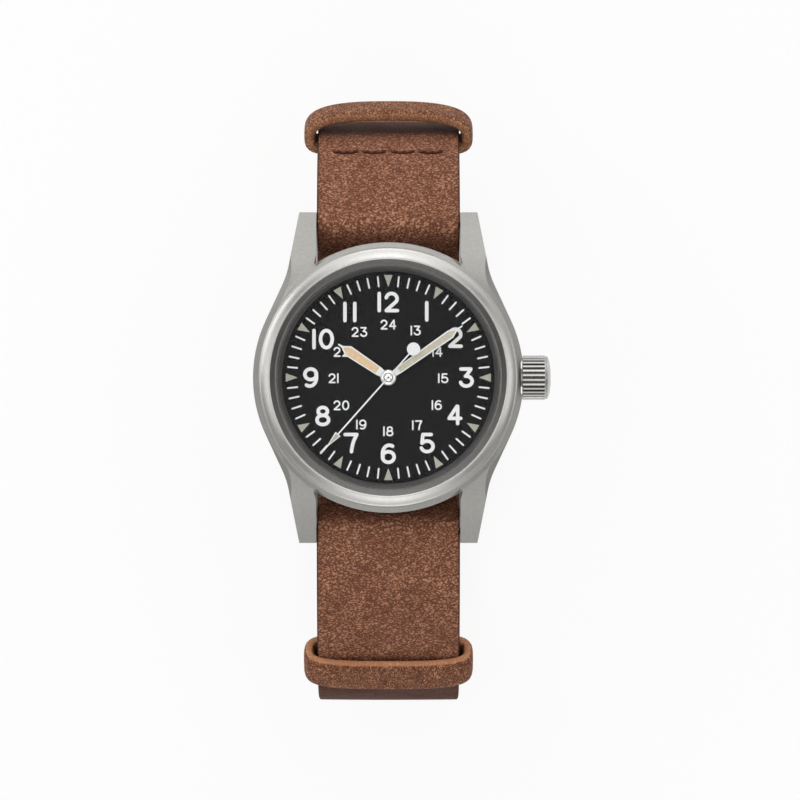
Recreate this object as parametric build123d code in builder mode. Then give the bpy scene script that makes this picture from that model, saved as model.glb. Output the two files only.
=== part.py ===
from build123d import *
import math
import os

# Field watch on a closed one-piece leather strap, in millimetres.
# +Z leaves the dial, +Y points at 12 o'clock and +X at the crown. The origin lies on the dial's
# axis, on the flat outer face of the strap keeper that the watch stands on.

# Leather strap and its loop
strap_width = 20.2
strap_thickness = 1.5
underlay_thickness = 1.2
layer_gap = 0.15
bar_gap = 0.1
strap_bow_six = 25.0
strap_bow_twelve = 16.05
strap_drop_radius = 1.2
tail_wrap_degrees = 60
underlay_join_degrees = 46
underlay_start_degrees = 56
underlay_end_degrees = 61
head_rise = 46.4
fold_reach = 4.0
fold_ease_radius = 2.0
fold_ease_degrees = 40
tail_tip_radius = 7.0
strap_hole_radius = 1.0
strap_hole_pitch = 6.5
strap_hole_count = 4

# Keepers
keeper_wall = 1.2
keeper_side_gap = 0.75
keeper_length = 5.0
keeper_gap = 0.2
keeper_side_radius = 1.7
keeper_inner_radius = 0.5
upper_keeper_degrees = 65.5
upper_keeper_spare = 2.0
lower_keeper_degrees = 55
free_keeper_y = 8.0

# Stitching
thread_radius = 0.3
thread_proud = 0.12
seam_degrees = 49
seam_stitch_count = 6
seam_inset = 2.25
stitch_fill_share = 0.72
end_seam_y = -3.6

# Buckle
buckle_bar_y = -8.0
buckle_bar_radius = 0.8
buckle_rail_gap = 0.4
buckle_rail_width = 1.5
buckle_rail_half = 1.45
buckle_reach = 12.6
buckle_far_depth = 2.4
buckle_far_height = 1.25
buckle_corner_radius = 0.5
tongue_width = 1.9
tongue_slot_gap = 0.3
tongue_thickness = 0.9
tongue_tip_thickness = 0.45
tongue_wall = 0.75
tongue_fit = 0.05
tongue_rest_gap = 0.12
tongue_drop_reach = 6.0
tongue_hole_from = 0.2
tongue_hole_to = 7.2

# Spring bars and lugs
spring_bar_radius = 0.65
spring_bar_tip_radius = 0.4
spring_bar_tip_length = 1.0
spring_bar_inset = 1.7
spring_bar_fit = 0.05
bar_above_case_back = 1.6
lug_reach = 4.3
lug_side_gap = 0.05
lug_tip_width = 2.4
lug_leave_degrees = 25
lug_blend_share = 0.4175
lug_blend_radius = 12.0
lug_tip_height = 3.6
lug_flat_inset = 3.62
lug_below_case_back = 0.2
lug_root_inset = 1.12

# Case
case_diameter = 38.0
case_wall = 3.38
case_base_step = 2.1
case_waist_step = 0.9
case_back_height = 0.8
case_waist_height = 0.9
case_side_start = 2.5
case_shoulder_height = 0.7
case_shoulder_step = 0.8
case_body_height = 6.3
crown_flat_depth = 0.4
crown_recess_gap = 0.45
bezel_step = 0.85
bezel_slope_width = 0.63
bezel_height = 2.0
bezel_edge = 0.25
bezel_slope_height = 0.62
bezel_lip_thickness = 0.85
crystal_seat = 0.1
crystal_thickness = 1.2
crystal_edge = 0.2
gasket_wall = 0.22
gasket_floor = 0.1
case_fit = 0.03

# Case back
case_back_step = 0.1
case_back_rim_wall = 1.0
case_back_notch_count = 6
case_back_notch_length = 2.4
case_back_notch_depth = 0.5
back_gasket_inset = 0.33
back_gasket_width = 0.5
back_gasket_height = 0.4

# Dial, flange ring and marker plots
dial_gap = 0.12
dial_thickness = 0.4
dial_hole_radius = 1.0
flange_width = 0.69
flange_top_wall = 0.13
plot_edge_gap = 0.53
plot_length = 1.67
plot_width = 1.19
plot_height = 0.12
hour_count = 12

# Hands, by distance from the dial's axis
hour_hand_gap = 4.28
hour_hand_degrees = 303.7
minute_hand_gap = 0.03
minute_hand_degrees = 55.1
seconds_hand_gap = 0.1
seconds_hand_degrees = 221.6
hand_thickness = 0.16
hour_hand_rise = 0.3
minute_hand_rise = 0.68
seconds_hand_rise = 1.08
hour_hub_radius = 1.1
minute_hub_radius = 1.05
seconds_hub_radius = 0.65
hour_hand_neck = 1.24
hour_hand_body = 1.54
minute_hand_neck = 0.98
minute_hand_body = 1.26
hand_needle_width = 0.34
hand_frame = 0.19
neck_frame_share = 0.7
seconds_needle_width = 0.2
seconds_disc_radius = 0.93
seconds_disc_reach = 5.33
arrow_gap = 1.7
arrow_length = 2.0
arrow_width = 0.94
hand_start_share = 0.19
hand_wide_share = 0.8
hand_shoulder_share = 0.915
needle_tip_share = 0.22
window_tip_share = 0.17
wide_frame_share = 0.25
hub_root_share = 0.33
minute_start_share = 0.128
minute_wide_share = 0.84
minute_shoulder_share = 0.915

# Crown, tube and stem
crown_radius = 3.15
crown_length = 3.95
crown_gap = 0.3
crown_flute_count = 30
crown_flute_corners = ((-0.32, 0.24), (-0.2, 0.0), (0.2, 0.0), (0.32, 0.24))
crown_flute_length = 3.07
crown_rim_radius = 3.1
crown_shoulder_radius = 2.95
crown_shoulder_length = 3.52
crown_dome_radius = 2.3
crown_dome_height = 0.17
crown_bore_radius = 1.76
crown_bore_depth = 2.3
crown_tube_radius = 1.3
crown_tube_bore = 0.62
crown_tube_inset = 2.6
crown_tube_proud = 2.1
crown_gasket_length = 0.6
stem_radius = 0.5
stem_inner_end = 5.0
stem_square_radius = 0.42
stem_groove_start = 9.4
stem_groove_length = 0.4
stem_groove_radius = 0.3
running_gap = 0.04

# Movement frame
movement_radius = 12.8
plate_thickness = 1.2
plate_recess = 0.75
movement_depth = 3.4
bridge_thickness = 0.5
cock_thickness = 0.5
movement_ring_wall_gap = 0.05
stem_drop = 0.9
pillar_radius = 0.7
screw_head_radius = 0.55
screw_head_height = 0.25
screw_slot_width = 0.16
screw_slot_depth = 0.12
jewel_radius = 0.6
jewel_thickness = 0.25
jewel_hole_radius = 0.16
pivot_radius = 0.12

# Going train: teeth, pitch modules and drops below the plate
tooth_half_share = 0.17
tip_half_share = 0.09
root_half_share = 0.25
addendum_share = 0.85
dedendum_share = 1.15
rim_share = 0.86
spoke_share = 0.07
spoke_count = 5
barrel_teeth = 78
centre_pinion_teeth = 12
barrel_module = 0.14
centre_teeth = 80
third_pinion_teeth = 10
third_teeth = 75
fourth_pinion_teeth = 10
centre_module = 0.1022
fourth_teeth = 84
escape_pinion_teeth = 7
fourth_module = 0.1
escape_teeth = 15
escape_radius = 1.9
barrel_degrees = 70
third_degrees = 200
escape_degrees = 280
balance_degrees = 305
balance_reach = 8.1
arbor_radius = 0.2
wheel_thickness = 0.15
barrel_top_drop = 0.2
barrel_tooth_height = 0.3
barrel_height = 1.3
barrel_wall = 0.35
barrel_arbor_radius = 0.9
mainspring_thickness = 0.25
mainspring_turns = 5
mainspring_gap = 0.12
coil_steps = 30
centre_wheel_drop = 1.85
third_wheel_drop = 2.3
fourth_wheel_drop = 2.75
escape_wheel_drop = 0.75
centre_tube_radius = 0.42
centre_tube_bore = 0.19
seconds_arbor_radius = 0.15
cannon_radius = 0.62
cannon_teeth = 12
minute_wheel_teeth = 36
minute_pinion_teeth = 10
hour_wheel_teeth = 40
cannon_module = 0.11
hour_module = 0.1056
motion_degrees = 20
hour_pipe_radius = 0.9
motion_share = 0.25

# Winding and setting work
winding_pinion_teeth = 16
winding_pinion_radius = 1.25
winding_pinion_length = 0.75
winding_pinion_x = 8.62
contrate_tooth_height = 0.1
crown_wheel_teeth = 32
ratchet_teeth = 48
winding_module = 0.179
crown_wheel_x = 6.2
winding_wheel_thickness = 0.25
winding_wheel_drop = 2.45
contrate_inner_radius = 2.05
contrate_outer_radius = 2.4
crown_wheel_post_radius = 0.5
winding_screw_radius = 1.0
sliding_pinion_radius = 0.62
sliding_pinion_length = 1.2
sliding_pinion_gap = 0.4
sliding_groove_radius = 0.5
sliding_groove_length = 0.36
yoke_width = 1.3
yoke_reach = 2.3
yoke_thickness = 0.27
lever_reach = 2.0
lever_width = 0.7
lever_pin_radius = 0.12
click_reach = 5.45
click_degrees = 150
click_bite_degrees = 134
click_heel_degrees = 136
click_width = 0.6
click_bite = 0.14
click_post_radius = 0.2
barrel_bridge_drop = 1.93
barrel_bridge_thickness = 0.35
barrel_bridge_inner_radius = 4.6
barrel_bridge_from_degrees = -14
barrel_bridge_to_degrees = 127
bridge_edge_gap = 0.25
stem_block_length = 1.85
stem_block_width = 2.4
pillar_inset = 1.1
barrel_pillar_degrees = (28, 112)
train_pillar_degrees = (150, 240)
cock_pillar_degrees = 335
bridge_boss_radius = 1.3
motion_recess_radius = 5.0
setting_teeth = 22

# Escapement
fork_share = 0.56
fork_width = 0.3
pallet_back = 0.815
pallet_side = 1.25
pallet_radius = 0.08
balance_radius = 4.1
balance_rim = 0.55
balance_arm_width = 0.5
balance_height = 0.35
balance_drop = 1.5
roller_radius = 0.7
impulse_pin_reach = 0.5
impulse_pin_radius = 0.1
hairspring_radius = 2.3
hairspring_turns = 6
hairspring_width = 0.09
hairspring_height = 0.18
hairspring_drop = 2.15

overrun = 1.0
os.makedirs("parts", exist_ok=True)

# Reaches that follow from the case, the strap and their clearances
case_radius = case_diameter / 2
case_bore_radius = case_radius - case_wall
case_base_radius = case_radius - case_base_step
case_waist_radius = case_radius - case_waist_step
case_back_radius = case_base_radius - case_back_step
bezel_radius = case_radius - bezel_step
crystal_radius = case_bore_radius + crystal_seat
seat_radius = crystal_radius + gasket_wall
bezel_inner_top_radius = seat_radius + bezel_slope_width
back_gasket_inner_radius = case_bore_radius + back_gasket_inset
dial_radius = case_bore_radius - dial_gap
flange_inner_radius = case_bore_radius - flange_width
plot_outer_radius = flange_inner_radius - plot_edge_gap
plot_inner_radius = plot_outer_radius - plot_length
hour_hand_length = plot_inner_radius - hour_hand_gap
minute_hand_length = plot_inner_radius - minute_hand_gap
seconds_hand_length = plot_outer_radius - seconds_hand_gap
arrow_tip_reach = seconds_hand_length - arrow_gap
arrow_base_reach = arrow_tip_reach - arrow_length
crown_flat_reach = case_radius - crown_flat_depth
crown_recess_radius = crown_radius + crown_recess_gap
crown_start = crown_flat_reach + crown_gap
crown_shoulder_x = crown_start + crown_shoulder_length
pillar_reach = movement_radius - pillar_inset
stem_block_start = movement_radius - stem_block_length
lug_opening = strap_width + 2 * lug_side_gap
lug_to_lug = case_diameter + 2 * lug_reach
lug_root_radius = case_bore_radius - lug_root_inset
lug_flat_reach = case_bore_radius - lug_flat_inset
keeper_width = strap_width + 2 * (keeper_side_gap + keeper_wall)
seam_width = strap_width - 2 * seam_inset

# Heights that follow from the sizes above, from the standing plane upwards
tail_z = keeper_wall + keeper_gap + strap_thickness / 2
end_z = tail_z + strap_thickness + layer_gap
fold_z = end_z + strap_thickness + layer_gap
buckle_wrap = buckle_bar_radius + bar_gap + strap_thickness / 2
buckle_bar_z = end_z + buckle_wrap
bar_z = head_rise
bar_y = lug_to_lug / 2 - spring_bar_inset
bar_wrap = spring_bar_radius + bar_gap + strap_thickness / 2
strap_reach_six = bar_y + strap_bow_six
strap_reach_twelve = bar_y + strap_bow_twelve
case_back_z = bar_z - bar_above_case_back
under_z = case_back_z - layer_gap - strap_thickness / 2
underlay_z = under_z - strap_thickness / 2 - layer_gap - underlay_thickness / 2
case_body_z = case_back_z + case_back_height
bezel_z = case_body_z + case_body_height
bezel_top_z = bezel_z + bezel_height
crystal_z = bezel_z + bezel_lip_thickness + gasket_floor
dial_z = bezel_z - bezel_lip_thickness
plate_top_z = dial_z - dial_thickness
plate_z = plate_top_z - plate_thickness
movement_z = plate_z - movement_depth
stem_z = plate_z - stem_drop
crown_gap_radius = crown_tube_radius + running_gap

# Train centres
centre_distance = centre_module * (centre_teeth + third_pinion_teeth) / 2
third_module = 2 * centre_distance / (third_teeth + fourth_pinion_teeth)
barrel_distance = barrel_module * (barrel_teeth + centre_pinion_teeth) / 2
escape_distance = fourth_module * (fourth_teeth + escape_pinion_teeth) / 2
motion_distance = cannon_module * (cannon_teeth + minute_wheel_teeth) / 2


def polar(reach, degrees):
    """Point in the dial's plane at a reach and an angle from +X."""
    turn = math.radians(degrees)
    return (reach * math.cos(turn), reach * math.sin(turn))


barrel_at = polar(barrel_distance, barrel_degrees)
third_at = polar(centre_distance, third_degrees)
escape_at = polar(escape_distance, escape_degrees)
balance_at = polar(balance_reach, balance_degrees)
motion_at = polar(motion_distance, motion_degrees)


# A band's centre line in the YZ plane is a chain of straight runs and tangent bends
def end_arc(rise, reach):
    """Radius and leaving angle of the arc from a spring bar to the loop's bottom."""
    span = rise + reach - bar_wrap
    radius = span - math.sqrt(span**2 - (rise**2 + reach**2 - bar_wrap**2))
    slope = math.degrees(math.asin((radius - reach) / (radius - bar_wrap)))
    return radius, slope


def run(length):
    """A straight stretch."""
    return ("run", length, 0)


def bend(radius, degrees):
    """A turn to the left, or to the right where the angle is negative."""
    return ("bend", radius, degrees)


def band(start, heading, moves, half):
    """Face of an even band that follows the moves from a start point and heading."""
    with BuildSketch(Plane.YZ) as face:
        with BuildLine():
            here = Vector(*start)
            turn = heading
            left = Vector(1, 0).rotate(Axis.Z, turn + 90)
            Line(here + left * half, here - left * half)
            for kind, size, degrees in moves:
                ahead = Vector(1, 0).rotate(Axis.Z, turn)
                left = ahead.rotate(Axis.Z, 90)
                if kind == "run":
                    after = here + ahead * size
                    Line(here + left * half, after + left * half)
                    Line(here - left * half, after - left * half)
                else:
                    side = math.copysign(1, degrees)
                    JernArc(here + left * half, ahead, size - side * half, degrees)
                    JernArc(here - left * half, ahead, size + side * half, degrees)
                    centre = here + left * size * side
                    after = centre + (here - centre).rotate(Axis.Z, degrees)
                here = after
                turn += degrees
            left = Vector(1, 0).rotate(Axis.Z, turn + 90)
            Line(here + left * half, here - left * half)
        make_face()
    return face.sketch


radius_twelve, slope_twelve = end_arc(bar_z - end_z, strap_reach_twelve - strap_thickness / 2 - bar_y)
radius_six, slope_six = end_arc(bar_z - tail_z, strap_reach_six - strap_thickness / 2 - bar_y)
centre_twelve = (strap_reach_twelve - strap_thickness / 2 - radius_twelve, end_z + radius_twelve)
centre_six = (radius_six + strap_thickness / 2 - strap_reach_six, tail_z + radius_six)


def on_arc(centre, radius, degrees):
    """Plane across the strap on an end arc; its local Y points out of the loop."""
    turn = math.radians(degrees)
    out = (math.sin(turn), math.cos(turn))
    at = (0, centre[0] + radius * out[0], centre[1] + radius * out[1])
    return Plane(at, x_dir=(1, 0, 0), z_dir=(0, -out[1], out[0]))


def keep(part, name):
    """Label a finished piece and write it under its name."""
    part.label = name
    export_step(part, f"parts/{name}.step")


# Main strap: folded round the buckle bar, over both spring bars and back through the buckle
fold_rise = 2 * buckle_wrap - (fold_z - end_z)
fold_ease = math.radians(fold_ease_degrees)
fold_slant = (fold_rise - 2 * fold_ease_radius * (1 - math.cos(fold_ease))) / math.sin(fold_ease)
fold_span = 2 * fold_ease_radius * math.sin(fold_ease) + fold_slant * math.cos(fold_ease)
drop_y = bar_y - bar_wrap
strap_moves = [
    run(fold_reach - buckle_bar_y - fold_span),
    bend(fold_ease_radius, -fold_ease_degrees),
    run(fold_slant),
    bend(fold_ease_radius, fold_ease_degrees),
    bend(buckle_wrap, 180),
    run(centre_twelve[0] - buckle_bar_y),
    bend(radius_twelve, 180 - slope_twelve),
    bend(bar_wrap, 90 + slope_twelve),
    run(bar_z - under_z - strap_drop_radius),
    bend(strap_drop_radius, -90),
    run(2 * (drop_y - strap_drop_radius)),
    bend(strap_drop_radius, -90),
    run(bar_z - under_z - strap_drop_radius),
    bend(bar_wrap, 90 + slope_six),
    bend(radius_six, 180 - slope_six),
    run(centre_twelve[0] - centre_six[0]),
    bend(radius_twelve + strap_thickness + layer_gap, tail_wrap_degrees),
]
tail_end = on_arc(centre_twelve, radius_twelve + strap_thickness + layer_gap, 180 - tail_wrap_degrees)
tongue_slot = tongue_width + 2 * tongue_slot_gap
tongue_ring = buckle_bar_radius + tongue_fit + tongue_wall
hole_first_y = buckle_bar_y - tongue_hole_to - strap_hole_pitch
with BuildPart() as strap_main:
    extrude(band((fold_reach, fold_z), 180, strap_moves, strap_thickness / 2), strap_width / 2, both=True)
    tips = strap_main.edges().sort_by_distance(tail_end.origin + tail_end.x_dir * strap_width / 2)
    other_tips = strap_main.edges().sort_by_distance(tail_end.origin - tail_end.x_dir * strap_width / 2)
    fillet([tips[0], other_tips[0]], tail_tip_radius)
    with Locations((0, buckle_bar_y + tongue_ring + keeper_gap, buckle_bar_z)):
        Box(
            tongue_slot,
            2 * buckle_wrap + strap_thickness,
            2 * buckle_wrap + strap_thickness + bar_gap,
            align=(Align.CENTER, Align.MAX, Align.CENTER),
            mode=Mode.SUBTRACT,
        )
    with Locations((0, buckle_bar_y - (tongue_hole_from + tongue_hole_to) / 2, tail_z)):
        Box(tongue_slot, tongue_hole_to - tongue_hole_from, strap_thickness + bar_gap, mode=Mode.SUBTRACT)
    for index in range(strap_hole_count):
        with Locations((0, hole_first_y - index * strap_hole_pitch, tail_z)):
            Cylinder(strap_hole_radius, 2 * strap_thickness, mode=Mode.SUBTRACT)
keep(strap_main.part, "strap_main")

# Underlay: second layer inside the loop, under the case, joined to the strap on both sides
underlay_inset = strap_thickness / 2 + layer_gap + underlay_thickness / 2


def underlay_ease(centre, radius):
    """Radius of the bend from the flat run under the case onto the inner arc."""
    turn = math.radians(underlay_join_degrees)
    return (underlay_z - centre[1] - radius * math.cos(turn)) / (1 - math.cos(turn))


def underlay_flat_end(centre, radius, side):
    """Where the flat run under the case ends, on the side that the sign gives."""
    turn = math.radians(underlay_join_degrees)
    return centre[0] + side * (radius - underlay_ease(centre, radius)) * math.sin(turn)


inner_twelve = radius_twelve - underlay_inset
inner_six = radius_six - underlay_inset
underlay_start = on_arc(centre_twelve, inner_twelve, underlay_start_degrees)
underlay_moves = [
    bend(inner_twelve, underlay_start_degrees - underlay_join_degrees),
    bend(underlay_ease(centre_twelve, inner_twelve), underlay_join_degrees),
    run(underlay_flat_end(centre_twelve, inner_twelve, 1) - underlay_flat_end(centre_six, inner_six, -1)),
    bend(underlay_ease(centre_six, inner_six), underlay_join_degrees),
    bend(inner_six, underlay_end_degrees - underlay_join_degrees),
]
with BuildPart() as strap_underlay:
    extrude(
        band(
            (underlay_start.origin.Y, underlay_start.origin.Z),
            180 - underlay_start_degrees,
            underlay_moves,
            underlay_thickness / 2,
        ),
        strap_width / 2,
        both=True,
    )
keep(strap_underlay.part, "strap_underlay")


# Keepers: closed leather loops round the layers that they hold
def make_keeper(plane, inside, outside, name):
    """Loop whose cavity runs from inside to outside along the plane's local Y."""
    depth = outside - inside + 2 * keeper_wall
    with BuildPart() as keeper:
        with BuildSketch(plane) as ring:
            with Locations((0, (inside + outside) / 2)):
                RectangleRounded(keeper_width, depth, keeper_side_radius)
                RectangleRounded(
                    keeper_width - 2 * keeper_wall,
                    depth - 2 * keeper_wall,
                    keeper_inner_radius,
                    mode=Mode.SUBTRACT,
                )
        extrude(ring.sketch, keeper_length / 2, both=True)
    keep(keeper.part, name)


strap_half = strap_thickness / 2
underlay_side = -strap_half - layer_gap - underlay_thickness - keeper_gap
make_keeper(
    on_arc(centre_twelve, radius_twelve, upper_keeper_degrees),
    -strap_half - keeper_gap,
    strap_half + keeper_gap + upper_keeper_spare,
    "keeper_upper",
)
make_keeper(
    on_arc(centre_six, radius_six, -lower_keeper_degrees),
    underlay_side,
    strap_half + keeper_gap,
    "keeper_lower",
)
ground = Plane((0, 0, 0), x_dir=(1, 0, 0), z_dir=(0, 1, 0))
ground_free = Plane((0, free_keeper_y, 0), x_dir=(1, 0, 0), z_dir=(0, 1, 0))
make_keeper(ground, -fold_z - strap_half - keeper_gap, -keeper_wall, "keeper_fixed")
make_keeper(ground_free, -end_z - strap_half - keeper_gap, -keeper_wall, "keeper_free")


# Stitches: short raised threads on the strap's outer face
def make_seam(plane, name):
    """Row of equal stitches across the strap; the plane's local Y leaves the leather."""
    pitch = seam_width / seam_stitch_count
    with BuildPart() as seam:
        for index in range(seam_stitch_count):
            along = (index + (1 - seam_stitch_count) / 2) * pitch
            foot = plane.origin + plane.x_dir * along + plane.y_dir * (thread_proud - thread_radius)
            with BuildSketch(Plane(foot, x_dir=plane.y_dir, z_dir=plane.x_dir)) as section:
                Circle(thread_radius)
                with Locations((-thread_proud / 2, 0)):
                    Rectangle(2 * thread_radius - thread_proud, 2 * thread_radius, mode=Mode.SUBTRACT)
            extrude(section.sketch, pitch * stitch_fill_share / 2, both=True)
    keep(seam.part, name)


make_seam(on_arc(centre_twelve, radius_twelve + strap_half, seam_degrees), "seam_upper")
fold_seam = Plane((0, end_seam_y, fold_z + strap_half), x_dir=(1, 0, 0), z_dir=(0, -1, 0))
make_seam(fold_seam, "seam_fold")

# Spring bars
bar_half = lug_opening / 2 - spring_bar_fit
with BuildPart() as spring_bars:
    for side in (-1, 1):
        with Locations(Location((0, side * bar_y, bar_z), (0, 90, 0))):
            Cylinder(spring_bar_radius, 2 * bar_half)
            Cylinder(spring_bar_tip_radius, 2 * (bar_half + spring_bar_tip_length))
keep(spring_bars.part, "spring_bars")

# Buckle
rail_inner = strap_width / 2 + buckle_rail_gap
rail_outer = rail_inner + buckle_rail_width
far_y = buckle_bar_y - buckle_reach
far_inner_y = far_y + buckle_far_depth
with BuildPart() as buckle_frame:
    with BuildSketch(Plane.YZ) as rail:
        with BuildLine():
            Polyline(
                (buckle_bar_y + buckle_rail_half, buckle_bar_z - buckle_rail_half),
                (buckle_bar_y + buckle_rail_half, buckle_bar_z + buckle_rail_half),
                (buckle_bar_y - buckle_rail_half, buckle_bar_z + buckle_rail_half),
                (far_y, buckle_far_height + buckle_bar_radius),
                (far_y, 0),
                (far_inner_y + buckle_far_depth, 0),
                (buckle_bar_y + buckle_rail_half, buckle_bar_z - buckle_rail_half),
            )
        make_face()
        fillet(rail.vertices(), buckle_corner_radius)
    extrude(rail.sketch, rail_outer, both=True)
    with Locations((0, (far_y + buckle_bar_y) / 2, buckle_bar_z / 2)):
        Box(2 * rail_inner, 2 * buckle_reach, 2 * buckle_bar_z, mode=Mode.SUBTRACT)
    with Locations((0, far_y + buckle_far_depth / 2, buckle_far_height / 2)):
        Box(2 * rail_inner + buckle_rail_width, buckle_far_depth, buckle_far_height)
    with Locations((0, far_y + buckle_far_depth / 2, 0)):
        Box(
            tongue_slot,
            buckle_far_depth + overrun,
            2 * (tongue_tip_thickness + 2 * tongue_rest_gap),
            mode=Mode.SUBTRACT,
        )
    with Locations(Location((0, buckle_bar_y, buckle_bar_z), (0, 90, 0))):
        Cylinder(buckle_bar_radius, 2 * rail_outer + overrun, mode=Mode.SUBTRACT)
keep(buckle_frame.part, "buckle_frame")

with BuildPart() as buckle_bar:
    with Locations(Location((0, buckle_bar_y, buckle_bar_z), (0, 90, 0))):
        Cylinder(buckle_bar_radius, 2 * rail_outer)
keep(buckle_bar.part, "buckle_bar")

tongue_low = tongue_rest_gap
tip_high = tongue_low + tongue_tip_thickness
tongue_turn_y = buckle_bar_y - tongue_drop_reach
with BuildPart() as buckle_tongue:
    with BuildSketch(Plane.YZ) as tongue:
        with BuildLine():
            Polyline(
                (buckle_bar_y, buckle_bar_z + tongue_wall),
                (buckle_bar_y, buckle_bar_z - tongue_ring),
                (tongue_turn_y + tongue_thickness, tongue_low),
                (far_y + tongue_tip_thickness, tongue_low),
                (far_y + tongue_tip_thickness, tip_high),
                (far_inner_y + tongue_tip_thickness, tip_high),
                (tongue_turn_y, tongue_low + tongue_thickness),
                (buckle_bar_y - tongue_ring, buckle_bar_z - buckle_bar_radius),
                (buckle_bar_y, buckle_bar_z + tongue_wall),
            )
        make_face()
        with Locations((buckle_bar_y, buckle_bar_z)):
            Circle(tongue_ring)
            Circle(buckle_bar_radius + tongue_fit, mode=Mode.SUBTRACT)
    extrude(tongue.sketch, tongue_width / 2, both=True)
keep(buckle_tongue.part, "buckle_tongue")

# Case body: turned ring with four drooping lugs
leave = math.radians(lug_leave_degrees)
lug_tip_y = lug_to_lug / 2
lug_inner = lug_opening / 2
lug_tip_x = lug_inner + lug_tip_width
leave_x, leave_y = polar(case_radius, lug_leave_degrees)
blend_y = leave_y + (lug_tip_y - leave_y) * lug_blend_share
blend_x = leave_x - (blend_y - leave_y) * math.tan(leave)
lug_tip_top = case_back_z - lug_below_case_back + lug_tip_height
lug_root_y = math.sqrt(lug_root_radius**2 - lug_inner**2)
side_z = case_back_z + case_side_start
shoulder_z = bezel_z - case_shoulder_height
bevel_degrees = math.degrees(math.atan(case_shoulder_step / case_shoulder_height))
tube_start = case_radius - crown_tube_inset
with BuildPart() as case_middle:
    with BuildSketch() as lug_plan:
        with BuildLine():
            Polyline(
                (lug_inner, lug_root_y),
                (lug_root_radius * math.cos(leave), lug_root_radius * math.sin(leave)),
                (leave_x, leave_y),
                (blend_x, blend_y),
                (lug_tip_x, lug_tip_y),
                (lug_inner, lug_tip_y),
                (lug_inner, lug_root_y),
            )
        make_face()
        blend_corner = lug_plan.vertices().sort_by_distance((blend_x, blend_y))[0]
        fillet(blend_corner, lug_blend_radius)
        mirror(about=Plane.XZ)
        mirror(about=Plane.YZ)
    extrude(lug_plan.sketch, shoulder_z)
    with BuildSketch() as shoulder_plan:
        add(lug_plan.sketch)
        Circle(case_radius)
    shoulder_foot = shoulder_plan.sketch.moved(Location((0, 0, shoulder_z)))
    extrude(shoulder_foot, case_shoulder_height, taper=bevel_degrees)
    with BuildSketch(Plane.YZ) as lug_side:
        with BuildLine():
            top = Line((0, bezel_z), (lug_flat_reach, bezel_z))
            TangentArc(top @ 1, (lug_tip_y, lug_tip_top), tangent=top % 1)
            Polyline(
                (lug_tip_y, lug_tip_top),
                (lug_tip_y, case_back_z - lug_below_case_back),
                (lug_root_radius, case_body_z),
                (0, case_body_z),
                (0, bezel_z),
            )
        make_face()
        mirror(about=Plane.YZ)
    extrude(lug_side.sketch, case_radius, both=True, mode=Mode.INTERSECT)
    with BuildSketch(Plane.XZ) as wall:
        with BuildLine():
            Polyline(
                (case_bore_radius, case_body_z),
                (case_base_radius, case_body_z),
                (case_waist_radius, case_body_z + case_waist_height),
                (case_radius, side_z),
                (case_radius, shoulder_z),
                (case_bore_radius, shoulder_z),
                (case_bore_radius, case_body_z),
            )
        make_face()
    revolve(wall.sketch, Axis.Z)
    with Locations((0, 0, case_body_z)):
        Cylinder(
            case_bore_radius,
            case_body_height + overrun,
            align=(Align.CENTER, Align.CENTER, Align.MIN),
            mode=Mode.SUBTRACT,
        )
    with BuildSketch(Plane.XY.offset(case_body_z)) as groove:
        Circle(back_gasket_inner_radius + back_gasket_width)
        Circle(back_gasket_inner_radius, mode=Mode.SUBTRACT)
    extrude(groove.sketch, back_gasket_height, mode=Mode.SUBTRACT)
    with Locations(Location((crown_flat_reach, 0, stem_z), (0, 90, 0))):
        Cylinder(
            crown_recess_radius,
            case_radius,
            align=(Align.CENTER, Align.CENTER, Align.MIN),
            mode=Mode.SUBTRACT,
        )
    with Locations(Location((0, 0, stem_z), (0, 90, 0))):
        Cylinder(
            crown_tube_radius,
            2 * case_radius,
            align=(Align.CENTER, Align.CENTER, Align.MIN),
            mode=Mode.SUBTRACT,
        )
    for side in (-1, 1):
        with Locations(Location((0, side * bar_y, bar_z), (0, 90, 0))):
            Cylinder(
                spring_bar_tip_radius + spring_bar_fit,
                2 * (bar_half + spring_bar_tip_length + spring_bar_fit),
                mode=Mode.SUBTRACT,
            )
keep(case_middle.part, "case_middle")


def turned(points, name):
    """Ring or disc turned about the dial's axis from a closed outline of radius and height."""
    with BuildPart() as piece:
        with BuildSketch(Plane.XZ) as section:
            with BuildLine():
                Polyline(*points, points[0])
            make_face()
        revolve(section.sketch, Axis.Z)
    keep(piece.part, name)


lip_z = bezel_z + bezel_lip_thickness
turned(
    [
        (case_bore_radius, bezel_z),
        (bezel_radius, bezel_z),
        (bezel_radius, bezel_top_z - bezel_edge),
        (bezel_radius - bezel_edge, bezel_top_z),
        (bezel_inner_top_radius, bezel_top_z),
        (seat_radius, bezel_top_z - bezel_slope_height),
        (seat_radius, lip_z),
        (case_bore_radius, lip_z),
    ],
    "bezel_ring",
)
turned(
    [
        (case_bore_radius, lip_z),
        (seat_radius, lip_z),
        (seat_radius, bezel_top_z - bezel_slope_height - crystal_edge),
        (crystal_radius, bezel_top_z - bezel_slope_height - crystal_edge),
        (crystal_radius, crystal_z),
        (case_bore_radius, crystal_z),
    ],
    "crystal_gasket",
)
crystal_top = crystal_z + crystal_thickness
turned(
    [
        (0, crystal_z),
        (crystal_radius, crystal_z),
        (crystal_radius, crystal_top - crystal_edge),
        (crystal_radius - crystal_edge, crystal_top),
        (0, crystal_top),
    ],
    "crystal",
)
turned(
    [
        (flange_inner_radius, dial_z),
        (case_bore_radius - case_fit, dial_z),
        (case_bore_radius - case_fit, lip_z),
        (case_bore_radius - case_fit - flange_top_wall, lip_z),
    ],
    "flange_ring",
)
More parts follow.
